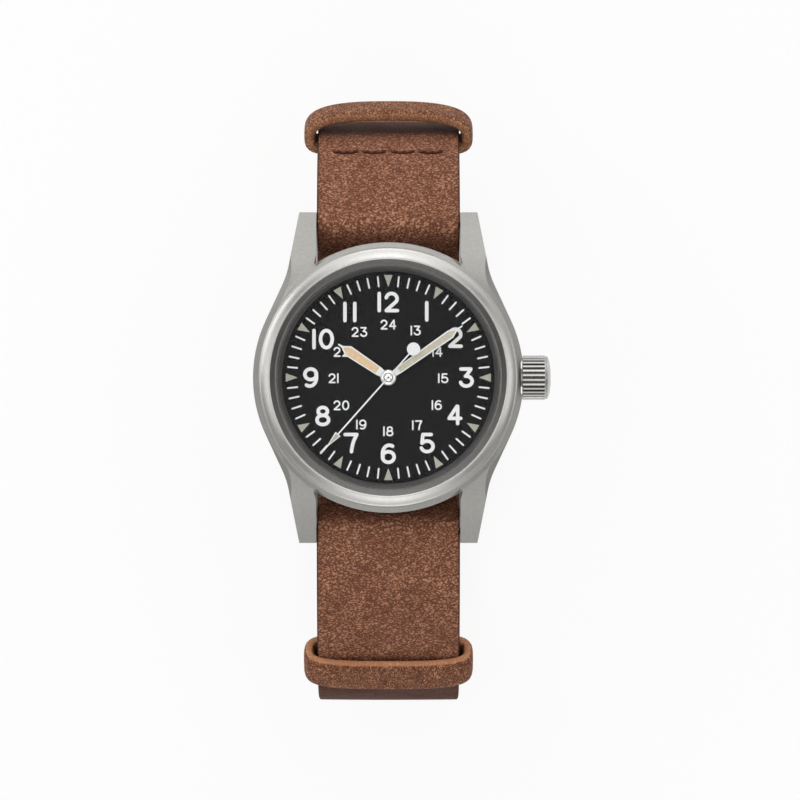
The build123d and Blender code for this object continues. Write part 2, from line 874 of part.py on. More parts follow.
turned(
    [
        (back_gasket_inner_radius + case_fit, case_body_z),
        (back_gasket_inner_radius + back_gasket_width - case_fit, case_body_z),
        (back_gasket_inner_radius + back_gasket_width - case_fit, case_body_z + back_gasket_height),
        (back_gasket_inner_radius + case_fit, case_body_z + back_gasket_height),
    ],
    "case_back_gasket",
)

# Case back: shallow lid whose rim carries the movement ring
rim_radius = case_bore_radius - case_fit
with BuildPart() as case_back:
    with Locations((0, 0, case_back_z)):
        Cylinder(case_back_radius, case_back_height, align=(Align.CENTER, Align.CENTER, Align.MIN))
    with BuildSketch(Plane.XY.offset(case_body_z)) as rim:
        Circle(rim_radius)
        Circle(rim_radius - case_back_rim_wall, mode=Mode.SUBTRACT)
    extrude(rim.sketch, movement_z - case_body_z)
    with PolarLocations(case_back_radius, case_back_notch_count):
        with Locations((0, 0, case_back_z)):
            Box(
                case_back_notch_depth * 2,
                case_back_notch_length,
                case_back_height,
                mode=Mode.SUBTRACT,
            )
keep(case_back.part, "case_back")

# Movement ring: spacer between the movement, the case back and the dial
with BuildPart() as movement_ring:
    with BuildSketch(Plane.XY.offset(movement_z)) as spacer:
        Circle(rim_radius)
        Circle(movement_radius + movement_ring_wall_gap, mode=Mode.SUBTRACT)
    extrude(spacer.sketch, plate_top_z - movement_z)
    with Locations(Location((0, 0, stem_z), (0, 90, 0))):
        Cylinder(
            crown_tube_radius + movement_ring_wall_gap,
            2 * case_radius,
            align=(Align.CENTER, Align.CENTER, Align.MIN),
            mode=Mode.SUBTRACT,
        )
keep(movement_ring.part, "movement_ring")


# Crown, its tube, gasket and stem
def stem_plane(x):
    """Plane across the winding stem at a distance from the dial's axis."""
    return Plane((x, 0, stem_z), x_dir=(0, 1, 0), z_dir=(1, 0, 0))


tube_end = crown_flat_reach + crown_tube_proud
with BuildPart() as crown_tube:
    with BuildSketch(stem_plane(tube_start)) as tube:
        Circle(crown_tube_radius)
        Circle(crown_tube_bore, mode=Mode.SUBTRACT)
    extrude(tube.sketch, tube_end - tube_start)
keep(crown_tube.part, "crown_tube")

gasket_start = crown_start + 2 * running_gap
with BuildPart() as crown_gasket:
    with BuildSketch(stem_plane(gasket_start)) as seal:
        Circle(crown_bore_radius - running_gap)
        Circle(crown_gap_radius, mode=Mode.SUBTRACT)
    extrude(seal.sketch, crown_gasket_length)
keep(crown_gasket.part, "crown_gasket")

flute_points = []
for index in range(crown_flute_count):
    for share, reach in crown_flute_corners:
        flute_points.append(polar(crown_radius - reach, 360 * (index + share) / crown_flute_count))
with BuildPart() as crown:
    with BuildSketch(stem_plane(crown_start)) as grip:
        Polygon(*flute_points, align=None)
    extrude(grip.sketch, crown_flute_length)
    flute_end = crown_start + crown_flute_length
    dome_foot = crown_start + crown_length - crown_dome_height
    with BuildSketch(Plane.XZ) as cap:
        with BuildLine():
            Polyline(
                (flute_end, stem_z),
                (dome_foot + crown_dome_height, stem_z),
                (dome_foot + crown_dome_height, stem_z + crown_dome_radius / 2),
                (dome_foot, stem_z + crown_dome_radius),
                (crown_shoulder_x, stem_z + crown_shoulder_radius),
                (flute_end, stem_z + crown_rim_radius),
                (flute_end, stem_z),
            )
        make_face()
    revolve(cap.sketch, Axis((0, 0, stem_z), (1, 0, 0)))
    with BuildSketch(stem_plane(crown_start)) as pocket:
        Circle(crown_bore_radius)
    extrude(pocket.sketch, crown_bore_depth, mode=Mode.SUBTRACT)
keep(crown.part, "crown")

round_start = winding_pinion_x - winding_pinion_length
with BuildPart() as winding_stem:
    with BuildSketch(stem_plane(round_start)) as shank:
        Circle(stem_radius)
    extrude(shank.sketch, crown_start + crown_bore_depth - round_start)
    with BuildSketch(stem_plane(stem_inner_end)) as square:
        Circle(stem_square_radius)
    extrude(square.sketch, round_start - stem_inner_end)
    with BuildSketch(stem_plane(stem_groove_start)) as slot:
        Circle(stem_radius)
        Circle(stem_groove_radius, mode=Mode.SUBTRACT)
    extrude(slot.sketch, stem_groove_length, mode=Mode.SUBTRACT)
keep(winding_stem.part, "winding_stem")

# Dial and its luminous plots
with BuildPart() as dial:
    with BuildSketch(Plane.XY.offset(plate_top_z)) as disc:
        Circle(dial_radius)
        Circle(dial_hole_radius, mode=Mode.SUBTRACT)
    extrude(disc.sketch, dial_thickness)
keep(dial.part, "dial")

with BuildPart() as lume_plots:
    with BuildSketch(Plane.XY.offset(dial_z)) as plots:
        with PolarLocations(0, hour_count):
            Polygon(
                (plot_inner_radius, 0),
                (plot_outer_radius, -plot_width / 2),
                (plot_outer_radius, plot_width / 2),
                align=None,
            )
    extrude(plots.sketch, plot_height)
keep(lume_plots.part, "lume_plots")


# Hands: each lies along its plane's local X
def hand_plane(degrees, rise):
    """Plane over the dial whose local X points along a hand, clockwise from 12."""
    turn = math.radians(degrees)
    return Plane((0, 0, dial_z + rise), x_dir=(math.sin(turn), math.cos(turn), 0), z_dir=(0, 0, 1))


def blade(length, neck, body, shares):
    """Outline of a hand that widens to its shoulder and runs out into a needle."""
    start, wide, shoulder = (length * share for share in shares)
    half = [
        (start, neck / 2),
        (wide, body / 2),
        (shoulder, hand_needle_width / 2),
        (length, hand_needle_width * needle_tip_share),
    ]
    return half + [(x, -y) for x, y in reversed(half)]


def window(length, neck, body, shares):
    """Opening for the luminous fill inside the hand's frame."""
    start, wide, shoulder = (length * share for share in shares)
    half = [
        (start + hand_frame, neck / 2 - hand_frame * neck_frame_share),
        (wide - hand_frame * wide_frame_share, body / 2 - hand_frame),
        (shoulder - hand_frame, hand_needle_width * window_tip_share),
    ]
    return half + [(x, -y) for x, y in reversed(half)]


def make_hand(plane, length, neck, body, shares, hub, bore, name):
    """Framed hand with an open window and a pierced hub."""
    with BuildPart() as hand:
        with BuildSketch(plane) as frame:
            Polygon(*blade(length, neck, body, shares), align=None)
            Polygon(*window(length, neck, body, shares), align=None, mode=Mode.SUBTRACT)
            Polygon(
                (0, hub * hub_root_share),
                (length * shares[0], neck / 2),
                (length * shares[0], -neck / 2),
                (0, -hub * hub_root_share),
                align=None,
            )
            Circle(hub)
            Circle(bore, mode=Mode.SUBTRACT)
        extrude(frame.sketch, hand_thickness)
    keep(hand.part, name)
    with BuildPart() as fill:
        with BuildSketch(plane) as lume:
            Polygon(*window(length, neck, body, shares), align=None)
        extrude(lume.sketch, hand_thickness)
    keep(fill.part, name + "_lume")


hour_shares = (hand_start_share, hand_wide_share, hand_shoulder_share)
minute_shares = (minute_start_share, minute_wide_share, minute_shoulder_share)
make_hand(
    hand_plane(hour_hand_degrees, hour_hand_rise),
    hour_hand_length,
    hour_hand_neck,
    hour_hand_body,
    hour_shares,
    hour_hub_radius,
    hour_pipe_radius,
    "hour_hand",
)
make_hand(
    hand_plane(minute_hand_degrees, minute_hand_rise),
    minute_hand_length,
    minute_hand_neck,
    minute_hand_body,
    minute_shares,
    minute_hub_radius,
    cannon_radius,
    "minute_hand",
)
with BuildPart() as seconds_hand:
    with BuildSketch(hand_plane(seconds_hand_degrees, seconds_hand_rise)) as needle:
        needle_span = seconds_hand_length + seconds_disc_reach
        with Locations(((seconds_hand_length - seconds_disc_reach) / 2, 0)):
            Rectangle(needle_span, seconds_needle_width)
        with Locations((-seconds_disc_reach, 0)):
            Circle(seconds_disc_radius)
        Polygon(
            (arrow_base_reach, arrow_width / 2),
            (arrow_tip_reach, seconds_needle_width / 2),
            (arrow_tip_reach, -seconds_needle_width / 2),
            (arrow_base_reach, -arrow_width / 2),
            align=None,
        )
        Circle(seconds_hub_radius)
        Circle(seconds_arbor_radius, mode=Mode.SUBTRACT)
    extrude(needle.sketch, hand_thickness)
keep(seconds_hand.part, "seconds_hand")


# Toothed wheels
def tooth_points(teeth, module, aim):
    """Outline of a wheel with straight-sided teeth, one of them centred on the aim angle."""
    radius = teeth * module / 2
    pitch = 2 * math.pi / teeth
    tip = radius + addendum_share * module
    root = radius - dedendum_share * module
    points = []
    for index in range(teeth):
        middle = math.radians(aim) + index * pitch
        rise = ((root, -root_half_share), (tip, -tip_half_share))
        fall = ((tip, tip_half_share), (root, root_half_share))
        for reach, share in rise + fall:
            turn = middle + share * pitch
            points.append((reach * math.cos(turn), reach * math.sin(turn)))
    return points


def add_gear(at, z, thickness, teeth, module, aim):
    """Toothed disc added to the part in hand."""
    with BuildSketch(Plane((at[0], at[1], z))) as rim:
        Polygon(*tooth_points(teeth, module, aim), align=None)
    extrude(rim.sketch, thickness)


def add_disc(at, z, radius, thickness, mode=Mode.ADD):
    """Plain disc or hole in the part in hand, from z upwards."""
    with Locations((at[0], at[1], z)):
        Cylinder(radius, thickness, align=(Align.CENTER, Align.CENTER, Align.MIN), mode=mode)


def cut_spokes(at, z, thickness, radius, hub):
    """Windows between a wheel's rim and its hub."""
    rim = radius * rim_share
    half = radius * spoke_share
    with BuildSketch(Plane((at[0], at[1], z))) as windows:
        Circle(rim)
        Circle(hub, mode=Mode.SUBTRACT)
        with PolarLocations(0, spoke_count):
            Rectangle(2 * rim, half, align=(Align.MIN, Align.CENTER), mode=Mode.SUBTRACT)
    extrude(windows.sketch, thickness, mode=Mode.SUBTRACT)


def facing(from_at, to_at):
    """Angle from one centre to another."""
    return math.degrees(math.atan2(to_at[1] - from_at[1], to_at[0] - from_at[0]))


origin = (0, 0)
tooth_top_z = plate_z - barrel_top_drop
barrel_z = tooth_top_z - barrel_height
barrel_radius = barrel_teeth * barrel_module / 2
drum_radius = barrel_radius - dedendum_share * barrel_module - running_gap
drum_inner = drum_radius - barrel_wall
centre_wheel_z = plate_z - centre_wheel_drop
third_wheel_z = plate_z - third_wheel_drop
fourth_wheel_z = plate_z - fourth_wheel_drop
escape_wheel_z = plate_z - escape_wheel_drop
train_top_z = movement_z + bridge_thickness

with BuildPart() as barrel_drum:
    add_disc(barrel_at, barrel_z, drum_radius, barrel_height)
    add_gear(
        barrel_at,
        tooth_top_z - barrel_tooth_height,
        barrel_tooth_height,
        barrel_teeth,
        barrel_module,
        facing(barrel_at, origin),
    )
    add_disc(
        barrel_at,
        barrel_z + barrel_wall / 2,
        drum_inner,
        barrel_height - barrel_wall,
        Mode.SUBTRACT,
    )
    add_disc(barrel_at, barrel_z, barrel_arbor_radius + running_gap, barrel_height, Mode.SUBTRACT)
keep(barrel_drum.part, "barrel_drum")


def coil_points(start, end, turns, width):
    """Outline of a flat spiral spring from its inner to its outer radius."""
    steps = turns * coil_steps
    outer = []
    inner = []
    for step in range(steps + 1):
        degrees = 360 * step / coil_steps
        reach = start + (end - start) * step / steps
        outer.append(polar(reach + width / 2, degrees))
        inner.append(polar(reach - width / 2, degrees))
    return outer + inner[::-1]


mainspring_start = barrel_arbor_radius + mainspring_gap + mainspring_thickness / 2
mainspring_end = drum_inner - mainspring_gap - mainspring_thickness / 2
with BuildPart() as mainspring:
    with BuildSketch(Plane((barrel_at[0], barrel_at[1], barrel_z + barrel_wall))) as wound:
        coils = coil_points(mainspring_start, mainspring_end, mainspring_turns, mainspring_thickness)
        Polygon(*coils, align=None)
    extrude(wound.sketch, barrel_height - 2 * barrel_wall)
keep(mainspring.part, "mainspring")

with BuildPart() as centre_wheel:
    centre_top = dial_z + minute_hand_rise
    add_disc(origin, centre_wheel_z - wheel_thickness, centre_tube_radius, centre_top - centre_wheel_z)
    add_gear(
        origin,
        tooth_top_z - barrel_tooth_height,
        barrel_tooth_height,
        centre_pinion_teeth,
        barrel_module,
        facing(origin, barrel_at) + 180 / centre_pinion_teeth,
    )
    add_gear(origin, centre_wheel_z, wheel_thickness, centre_teeth, centre_module, third_degrees)
    cut_spokes(origin, centre_wheel_z, wheel_thickness, centre_teeth * centre_module / 2, cannon_radius)
    add_disc(
        origin,
        centre_wheel_z - wheel_thickness,
        centre_tube_bore,
        centre_top - centre_wheel_z,
        Mode.SUBTRACT,
    )
keep(centre_wheel.part, "centre_wheel")


def make_arbor_wheel(at, wheel_z, wheel_teeth, wheel_module, wheel_aim, pinion, top_z, foot_z, name):
    """Wheel on an arbor with its pinion: the pinion is its teeth, module, aim, foot and height."""
    pinion_teeth, pinion_module, pinion_aim, pinion_z, pinion_height = pinion
    with BuildPart() as piece:
        add_disc(at, foot_z, arbor_radius, top_z - foot_z)
        add_disc(at, foot_z - jewel_thickness, pivot_radius, top_z - foot_z + 2 * jewel_thickness)
        add_gear(at, wheel_z, wheel_thickness, wheel_teeth, wheel_module, wheel_aim)
        cut_spokes(at, wheel_z, wheel_thickness, wheel_teeth * wheel_module / 2, arbor_hub_radius)
        add_gear(at, pinion_z, pinion_height, pinion_teeth, pinion_module, pinion_aim)
    keep(piece.part, name)


pinion_height = 3 * wheel_thickness
arbor_hub_radius = 3 * arbor_radius
make_arbor_wheel(
    third_at,
    third_wheel_z,
    third_teeth,
    third_module,
    third_degrees + 180,
    (
        third_pinion_teeth,
        centre_module,
        third_degrees + 180 + 180 / third_pinion_teeth,
        centre_wheel_z - wheel_thickness,
        pinion_height,
    ),
    plate_z - running_gap,
    train_top_z + running_gap,
    "third_wheel",
)

with BuildPart() as fourth_wheel:
    seconds_top = dial_z + seconds_hand_rise + hand_thickness
    seconds_foot = train_top_z - jewel_thickness
    add_disc(origin, seconds_foot, seconds_arbor_radius, seconds_top - seconds_foot)
    add_gear(origin, fourth_wheel_z, wheel_thickness, fourth_teeth, fourth_module, escape_degrees)
    cut_spokes(origin, fourth_wheel_z, wheel_thickness, fourth_teeth * fourth_module / 2, cannon_radius)
    add_gear(
        origin,
        third_wheel_z - wheel_thickness,
        2 * wheel_thickness,
        fourth_pinion_teeth,
        third_module,
        third_degrees + 180 / fourth_pinion_teeth,
    )
keep(fourth_wheel.part, "fourth_wheel")

with BuildPart() as escape_wheel:
    escape_foot = train_top_z + running_gap
    escape_height = plate_z - running_gap - escape_foot
    add_disc(escape_at, escape_foot, arbor_radius, escape_height)
    add_disc(escape_at, escape_foot - jewel_thickness, pivot_radius, escape_height + 2 * jewel_thickness)
    add_gear(
        escape_at,
        fourth_wheel_z - wheel_thickness,
        pinion_height,
        escape_pinion_teeth,
        fourth_module,
        escape_degrees + 180 + 180 / escape_pinion_teeth,
    )
    with BuildSketch(Plane((escape_at[0], escape_at[1], escape_wheel_z))) as club:
        Circle(escape_radius * rim_share)
        with PolarLocations(0, escape_teeth):
            Polygon(
                (escape_radius * rim_share * rim_share, -escape_radius * spoke_share),
                (escape_radius, 0),
                (escape_radius * rim_share * rim_share, escape_radius * spoke_share),
                align=None,
            )
        Circle(escape_radius * rim_share * rim_share, mode=Mode.SUBTRACT)
        Rectangle(2 * escape_radius * rim_share, 2 * arbor_radius)
        Rectangle(2 * arbor_radius, 2 * escape_radius * rim_share)
        Circle(2 * arbor_radius)
    extrude(club.sketch, wheel_thickness)
keep(escape_wheel.part, "escape_wheel")

# Pallet fork between the escape wheel and the balance
span = math.dist(escape_at, balance_at)
fork_at = tuple(e + (b - e) * fork_share for e, b in zip(escape_at, balance_at))
fork_aim = facing(escape_at, balance_at)
fork_turn = math.radians(fork_aim)
fork_z = escape_wheel_z + wheel_thickness + running_gap
fork_reach = span * (1 - fork_share) - impulse_pin_reach - impulse_pin_radius - running_gap
fork_ahead = (math.cos(fork_turn), math.sin(fork_turn), 0)
fork_plane = Plane((fork_at[0], fork_at[1], fork_z), x_dir=fork_ahead, z_dir=(0, 0, 1))
stone_plane = Plane((fork_at[0], fork_at[1], escape_wheel_z), x_dir=fork_ahead, z_dir=(0, 0, 1))
fork_foot = escape_wheel_z - wheel_thickness
with BuildPart() as pallet_fork:
    with BuildSketch(fork_plane) as lever:
        Rectangle(fork_reach, fork_width, align=(Align.MIN, Align.CENTER))
        for side in (-1, 1):
            Polygon(
                (fork_width / 2, 0),
                (-pallet_back, side * (pallet_side + pallet_radius)),
                (-pallet_back - fork_width / 2, side * pallet_side),
                (-fork_width / 2, 0),
                align=None,
            )
            with Locations((-pallet_back, side * pallet_side)):
                Circle(fork_width / 2)
        Circle(2 * arbor_radius)
    extrude(lever.sketch, wheel_thickness)
    with BuildSketch(stone_plane) as stones:
        with Locations((-pallet_back, pallet_side), (-pallet_back, -pallet_side)):
            Circle(pallet_radius)
    extrude(stones.sketch, fork_z - escape_wheel_z)
    add_disc(fork_at, fork_foot, arbor_radius, plate_z - running_gap - fork_foot)
    add_disc(fork_at, fork_z, pivot_radius, plate_z + jewel_thickness - running_gap - fork_z)
keep(pallet_fork.part, "pallet_fork")

# Balance with its staff, roller and impulse pin
balance_z = plate_z - balance_drop
cock_z = movement_z
with BuildPart() as balance_wheel:
    with BuildSketch(Plane((balance_at[0], balance_at[1], balance_z))) as rim_ring:
        Circle(balance_radius)
        Circle(balance_radius - balance_rim, mode=Mode.SUBTRACT)
        Rectangle(2 * balance_radius - balance_rim, balance_arm_width)
        Rectangle(balance_arm_width, 2 * balance_radius - balance_rim)
        Circle(roller_radius)
    extrude(rim_ring.sketch, balance_height)
    staff_foot = cock_z + cock_thickness + running_gap
    staff_height = plate_z - running_gap - staff_foot
    add_disc(balance_at, staff_foot, arbor_radius, staff_height)
    add_disc(balance_at, staff_foot - jewel_thickness, pivot_radius, staff_height + 2 * jewel_thickness)
    roller_z = balance_z + balance_height
    add_disc(balance_at, roller_z, roller_radius, wheel_thickness / 2)
    pin_at = tuple(b - (b - e) / span * impulse_pin_reach for e, b in zip(escape_at, balance_at))
    add_disc(pin_at, roller_z, impulse_pin_radius, fork_z + wheel_thickness - roller_z)
keep(balance_wheel.part, "balance_wheel")

hairspring_z = plate_z - hairspring_drop
with BuildPart() as hairspring:
    with BuildSketch(Plane((balance_at[0], balance_at[1], hairspring_z))) as fine_coil:
        collet_radius = arbor_radius + hairspring_width
        coils = coil_points(collet_radius, hairspring_radius, hairspring_turns, hairspring_width)
        Polygon(*coils, align=None)
        Circle(collet_radius + hairspring_width / 2)
        Circle(arbor_radius, mode=Mode.SUBTRACT)
    extrude(fine_coil.sketch, hairspring_height)
keep(hairspring.part, "hairspring")

# Motion work on the dial side of the plate
recess_z = plate_top_z - plate_recess
motion_thickness = plate_recess * motion_share
with BuildPart() as cannon_pinion:
    cannon_top = dial_z + minute_hand_rise + hand_thickness
    add_disc(origin, recess_z + running_gap, cannon_radius, cannon_top - recess_z - running_gap)
    add_gear(
        origin,
        recess_z + running_gap,
        motion_thickness,
        cannon_teeth,
        cannon_module,
        motion_degrees + 180 / cannon_teeth,
    )
    add_disc(origin, recess_z, centre_tube_radius, cannon_top - recess_z, Mode.SUBTRACT)
keep(cannon_pinion.part, "cannon_pinion")

hour_wheel_z = recess_z + 2 * motion_thickness + 2 * running_gap
with BuildPart() as hour_wheel:
    hour_top = dial_z + hour_hand_rise + hand_thickness
    add_disc(origin, hour_wheel_z, hour_pipe_radius, hour_top - hour_wheel_z)
    add_gear(origin, hour_wheel_z, motion_thickness, hour_wheel_teeth, hour_module, motion_degrees)
    add_disc(origin, hour_wheel_z, cannon_radius + running_gap, hour_top - hour_wheel_z, Mode.SUBTRACT)
keep(hour_wheel.part, "hour_wheel")

minute_pinion_module = 2 * (motion_distance - hour_wheel_teeth * hour_module / 2) / minute_pinion_teeth
with BuildPart() as minute_wheel:
    add_gear(
        motion_at,
        recess_z + running_gap,
        motion_thickness,
        minute_wheel_teeth,
        cannon_module,
        motion_degrees + 180,
    )
    add_gear(
        motion_at,
        recess_z + running_gap,
        3 * motion_thickness,
        minute_pinion_teeth,
        minute_pinion_module,
        motion_degrees + 180 + 180 / minute_pinion_teeth,
    )
    add_disc(motion_at, recess_z, arbor_radius + running_gap, plate_recess, Mode.SUBTRACT)
keep(minute_wheel.part, "minute_wheel")

setting_distance = cannon_module * (minute_wheel_teeth + setting_teeth) / 2
setting_at = (motion_at[0] + setting_distance, motion_at[1])
with BuildPart() as setting_wheel:
    add_gear(
        setting_at,
        recess_z + running_gap,
        motion_thickness,
        setting_teeth,
        cannon_module,
        180 + 180 / setting_teeth,
    )
    add_disc(setting_at, recess_z, arbor_radius + running_gap, plate_recess, Mode.SUBTRACT)
keep(setting_wheel.part, "setting_wheel")

# Winding work: everything that the crown turns
winding_pinion_module = 2 * winding_pinion_radius / (winding_pinion_teeth + 2 * addendum_share)
with BuildPart() as winding_pinion:
    with BuildSketch(stem_plane(round_start)) as cog:
        teeth = tooth_points(winding_pinion_teeth, winding_pinion_module, 90)
        Polygon(*teeth, align=None)
        Circle(stem_radius + running_gap, mode=Mode.SUBTRACT)
    extrude(cog.sketch, winding_pinion_length)
keep(winding_pinion.part, "winding_pinion")

winding_wheel_z = plate_z - winding_wheel_drop
crown_wheel_at = (crown_wheel_x, 0)
with BuildPart() as crown_wheel:
    add_gear(
        crown_wheel_at,
        winding_wheel_z,
        winding_wheel_thickness,
        crown_wheel_teeth,
        winding_module,
        facing(crown_wheel_at, barrel_at),
    )
    contrate_z = winding_wheel_z + winding_wheel_thickness
    with BuildSketch(Plane((crown_wheel_x, 0, contrate_z))) as face_teeth:
        with PolarLocations(0, crown_wheel_teeth, start_angle=180 / crown_wheel_teeth):
            with Locations(((contrate_inner_radius + contrate_outer_radius) / 2, 0)):
                Rectangle(
                    contrate_outer_radius - contrate_inner_radius,
                    2 * math.pi * contrate_inner_radius / crown_wheel_teeth * 2 * tooth_half_share,
                )
    extrude(face_teeth.sketch, contrate_tooth_height)
    add_disc(
        crown_wheel_at,
        winding_wheel_z,
        crown_wheel_post_radius + running_gap,
        winding_wheel_thickness,
        Mode.SUBTRACT,
    )
keep(crown_wheel.part, "crown_wheel")

ratchet_module = 2 * math.dist(crown_wheel_at, barrel_at) / (crown_wheel_teeth + ratchet_teeth)
with BuildPart() as ratchet_wheel:
    add_gear(
        barrel_at,
        winding_wheel_z,
        winding_wheel_thickness,
        ratchet_teeth,
        ratchet_module,
        facing(barrel_at, crown_wheel_at) + 180 / ratchet_teeth,
    )
    add_disc(barrel_at, winding_wheel_z, winding_screw_radius / 2, winding_wheel_thickness, Mode.SUBTRACT)
keep(ratchet_wheel.part, "ratchet_wheel")

with BuildPart() as barrel_arbor:
    add_disc(barrel_at, winding_wheel_z, winding_screw_radius / 2, barrel_z - winding_wheel_z)
    add_disc(barrel_at, barrel_z, barrel_arbor_radius, plate_z - running_gap - barrel_z)
    add_disc(
        barrel_at,
        winding_wheel_z - screw_head_height,
        winding_screw_radius,
        screw_head_height,
    )
keep(barrel_arbor.part, "barrel_arbor")

sliding_start = round_start - sliding_pinion_gap - sliding_pinion_length
groove_middle = sliding_start + sliding_pinion_length / 2
with BuildPart() as sliding_pinion:
    with BuildSketch(stem_plane(sliding_start)) as sleeve:
        Circle(sliding_pinion_radius)
        Circle(stem_square_radius + running_gap, mode=Mode.SUBTRACT)
    extrude(sleeve.sketch, sliding_pinion_length)
    with BuildSketch(stem_plane(groove_middle - sliding_groove_length / 2)) as sleeve_groove:
        Circle(sliding_pinion_radius)
        Circle(sliding_groove_radius, mode=Mode.SUBTRACT)
    extrude(sleeve_groove.sketch, sliding_groove_length, mode=Mode.SUBTRACT)
keep(sliding_pinion.part, "sliding_pinion")

with BuildPart() as yoke:
    with BuildSketch(Plane.XY.offset(stem_z - yoke_thickness / 2)) as yoke_plan:
        with Locations((groove_middle, -sliding_groove_radius - running_gap)):
            Rectangle(
                sliding_groove_length - 2 * running_gap,
                sliding_pinion_radius,
                align=(Align.CENTER, Align.MAX),
            )
        with Locations((groove_middle, -yoke_reach)):
            Rectangle(
                yoke_width,
                yoke_reach - sliding_pinion_radius - sliding_groove_radius,
                align=(Align.CENTER, Align.MIN),
            )
    extrude(yoke_plan.sketch, yoke_thickness)
keep(yoke.part, "yoke")

lever_x = stem_groove_start + stem_groove_length / 2
lever_tip_y = -stem_groove_radius - lever_pin_radius - running_gap
lever_at = (lever_x, lever_tip_y - lever_reach)
with BuildPart() as setting_lever:
    with BuildSketch(Plane.XY.offset(stem_z - stem_radius - running_gap - yoke_thickness)) as lever_plan:
        with Locations((lever_x, (lever_at[1] + lever_tip_y) / 2)):
            SlotOverall(lever_reach + lever_width, lever_width, rotation=90)
        with Locations(lever_at):
            Circle(arbor_radius + running_gap, mode=Mode.SUBTRACT)
    extrude(lever_plan.sketch, yoke_thickness)
    add_disc(
        (lever_x, lever_tip_y),
        stem_z - stem_radius - 2 * running_gap,
        lever_pin_radius,
        2 * stem_radius,
    )
keep(setting_lever.part, "setting_lever")

ratchet_tip = ratchet_teeth * ratchet_module / 2 + addendum_share * ratchet_module
click_at = tuple(b + p for b, p in zip(barrel_at, polar(click_reach, click_degrees)))
click_outline = [
    polar(ratchet_tip - click_bite, click_bite_degrees),
    polar(ratchet_tip + 2 * running_gap, click_heel_degrees),
    polar(click_reach - click_width / 2, click_degrees),
    polar(click_reach + click_width / 2, click_degrees),
    polar(ratchet_tip + click_width, click_heel_degrees),
]
with BuildPart() as click:
    with BuildSketch(Plane((barrel_at[0], barrel_at[1], winding_wheel_z))) as pawl:
        Polygon(*click_outline, align=None)
        with Locations(polar(click_reach, click_degrees)):
            Circle(click_width / 2)
            Circle(click_post_radius + running_gap, mode=Mode.SUBTRACT)
    extrude(pawl.sketch, winding_wheel_thickness)
keep(click.part, "click")

# Movement frame: main plate with its pillars, bridges, balance cock, jewels and screws
barrel_bridge_z = plate_z - barrel_bridge_drop
barrel_bridge_top = barrel_bridge_z + barrel_bridge_thickness
barrel_pillars = [polar(pillar_reach, angle) for angle in barrel_pillar_degrees]
train_pillars = [polar(pillar_reach, angle) for angle in train_pillar_degrees]
cock_pillar = polar(pillar_reach, cock_pillar_degrees)
low_pillars = train_pillars + [cock_pillar]
plate_jewels = [third_at, escape_at, fork_at, balance_at]
pocket_depth = winding_pinion_radius - stem_drop + 2 * running_gap
with BuildPart() as main_plate:
    add_disc(origin, plate_z, movement_radius, plate_thickness)
    for pillar_at in barrel_pillars:
        add_disc(pillar_at, barrel_bridge_top, pillar_radius, plate_z - barrel_bridge_top)
    for pillar_at in low_pillars:
        add_disc(pillar_at, train_top_z, pillar_radius, plate_z - train_top_z)
    with Locations((stem_block_start, 0, plate_z)):
        Box(
            movement_radius - stem_block_start - bridge_edge_gap,
            stem_block_width,
            2 * stem_drop,
            align=(Align.MIN, Align.CENTER, Align.MAX),
        )
    with Locations(Location((0, 0, stem_z), (0, 90, 0))):
        Cylinder(
            stem_radius + running_gap,
            2 * movement_radius,
            align=(Align.CENTER, Align.CENTER, Align.MIN),
            mode=Mode.SUBTRACT,
        )
    with Locations((sliding_start - stem_drop, 0, plate_z)):
        Box(
            winding_pinion_x + running_gap - sliding_start + stem_drop,
            2 * winding_pinion_radius + 4 * running_gap,
            2 * pocket_depth,
            align=(Align.MIN, Align.CENTER, Align.CENTER),
            mode=Mode.SUBTRACT,
        )
    add_disc(origin, recess_z, motion_recess_radius, plate_recess, Mode.SUBTRACT)
    add_disc(
        setting_at,
        recess_z,
        setting_teeth * cannon_module / 2 + 2 * cannon_module,
        plate_recess,
        Mode.SUBTRACT,
    )
    add_disc(origin, plate_z, centre_tube_radius + running_gap, plate_thickness, Mode.SUBTRACT)
    for jewel_at in plate_jewels:
        add_disc(jewel_at, plate_z, jewel_radius, jewel_thickness, Mode.SUBTRACT)
    add_disc(motion_at, recess_z, arbor_radius, plate_recess - 2 * running_gap)
    add_disc(setting_at, recess_z, arbor_radius, 2 * motion_thickness)
    add_disc(lever_at, stem_z - 2 * stem_radius, arbor_radius, plate_z - stem_z + 2 * stem_radius)
keep(main_plate.part, "main_plate")

with BuildPart() as barrel_bridge:
    with BuildSketch(Plane.XY.offset(barrel_bridge_z)) as crescent:
        Circle(movement_radius - bridge_edge_gap)
        Circle(barrel_bridge_inner_radius, mode=Mode.SUBTRACT)
        far = 2 * movement_radius
        middle_degrees = (barrel_bridge_from_degrees + barrel_bridge_to_degrees) / 2
        Polygon(
            (0, 0),
            polar(far, barrel_bridge_from_degrees),
            polar(far, middle_degrees),
            polar(far, barrel_bridge_to_degrees),
            align=None,
            mode=Mode.INTERSECT,
        )
        with Locations((round_start - 2 * running_gap, winding_pinion_radius + 2 * running_gap)):
            Rectangle(movement_radius, far, align=(Align.MIN, Align.MAX), mode=Mode.SUBTRACT)
        with Locations(barrel_at):
            Circle(winding_screw_radius / 2 + running_gap, mode=Mode.SUBTRACT)
    extrude(crescent.sketch, barrel_bridge_thickness)
    post_height = barrel_bridge_z - winding_wheel_z + running_gap
    add_disc(crown_wheel_at, winding_wheel_z - running_gap, crown_wheel_post_radius, post_height)
    add_disc(click_at, winding_wheel_z, click_post_radius, barrel_bridge_z - winding_wheel_z)
keep(barrel_bridge.part, "barrel_bridge")


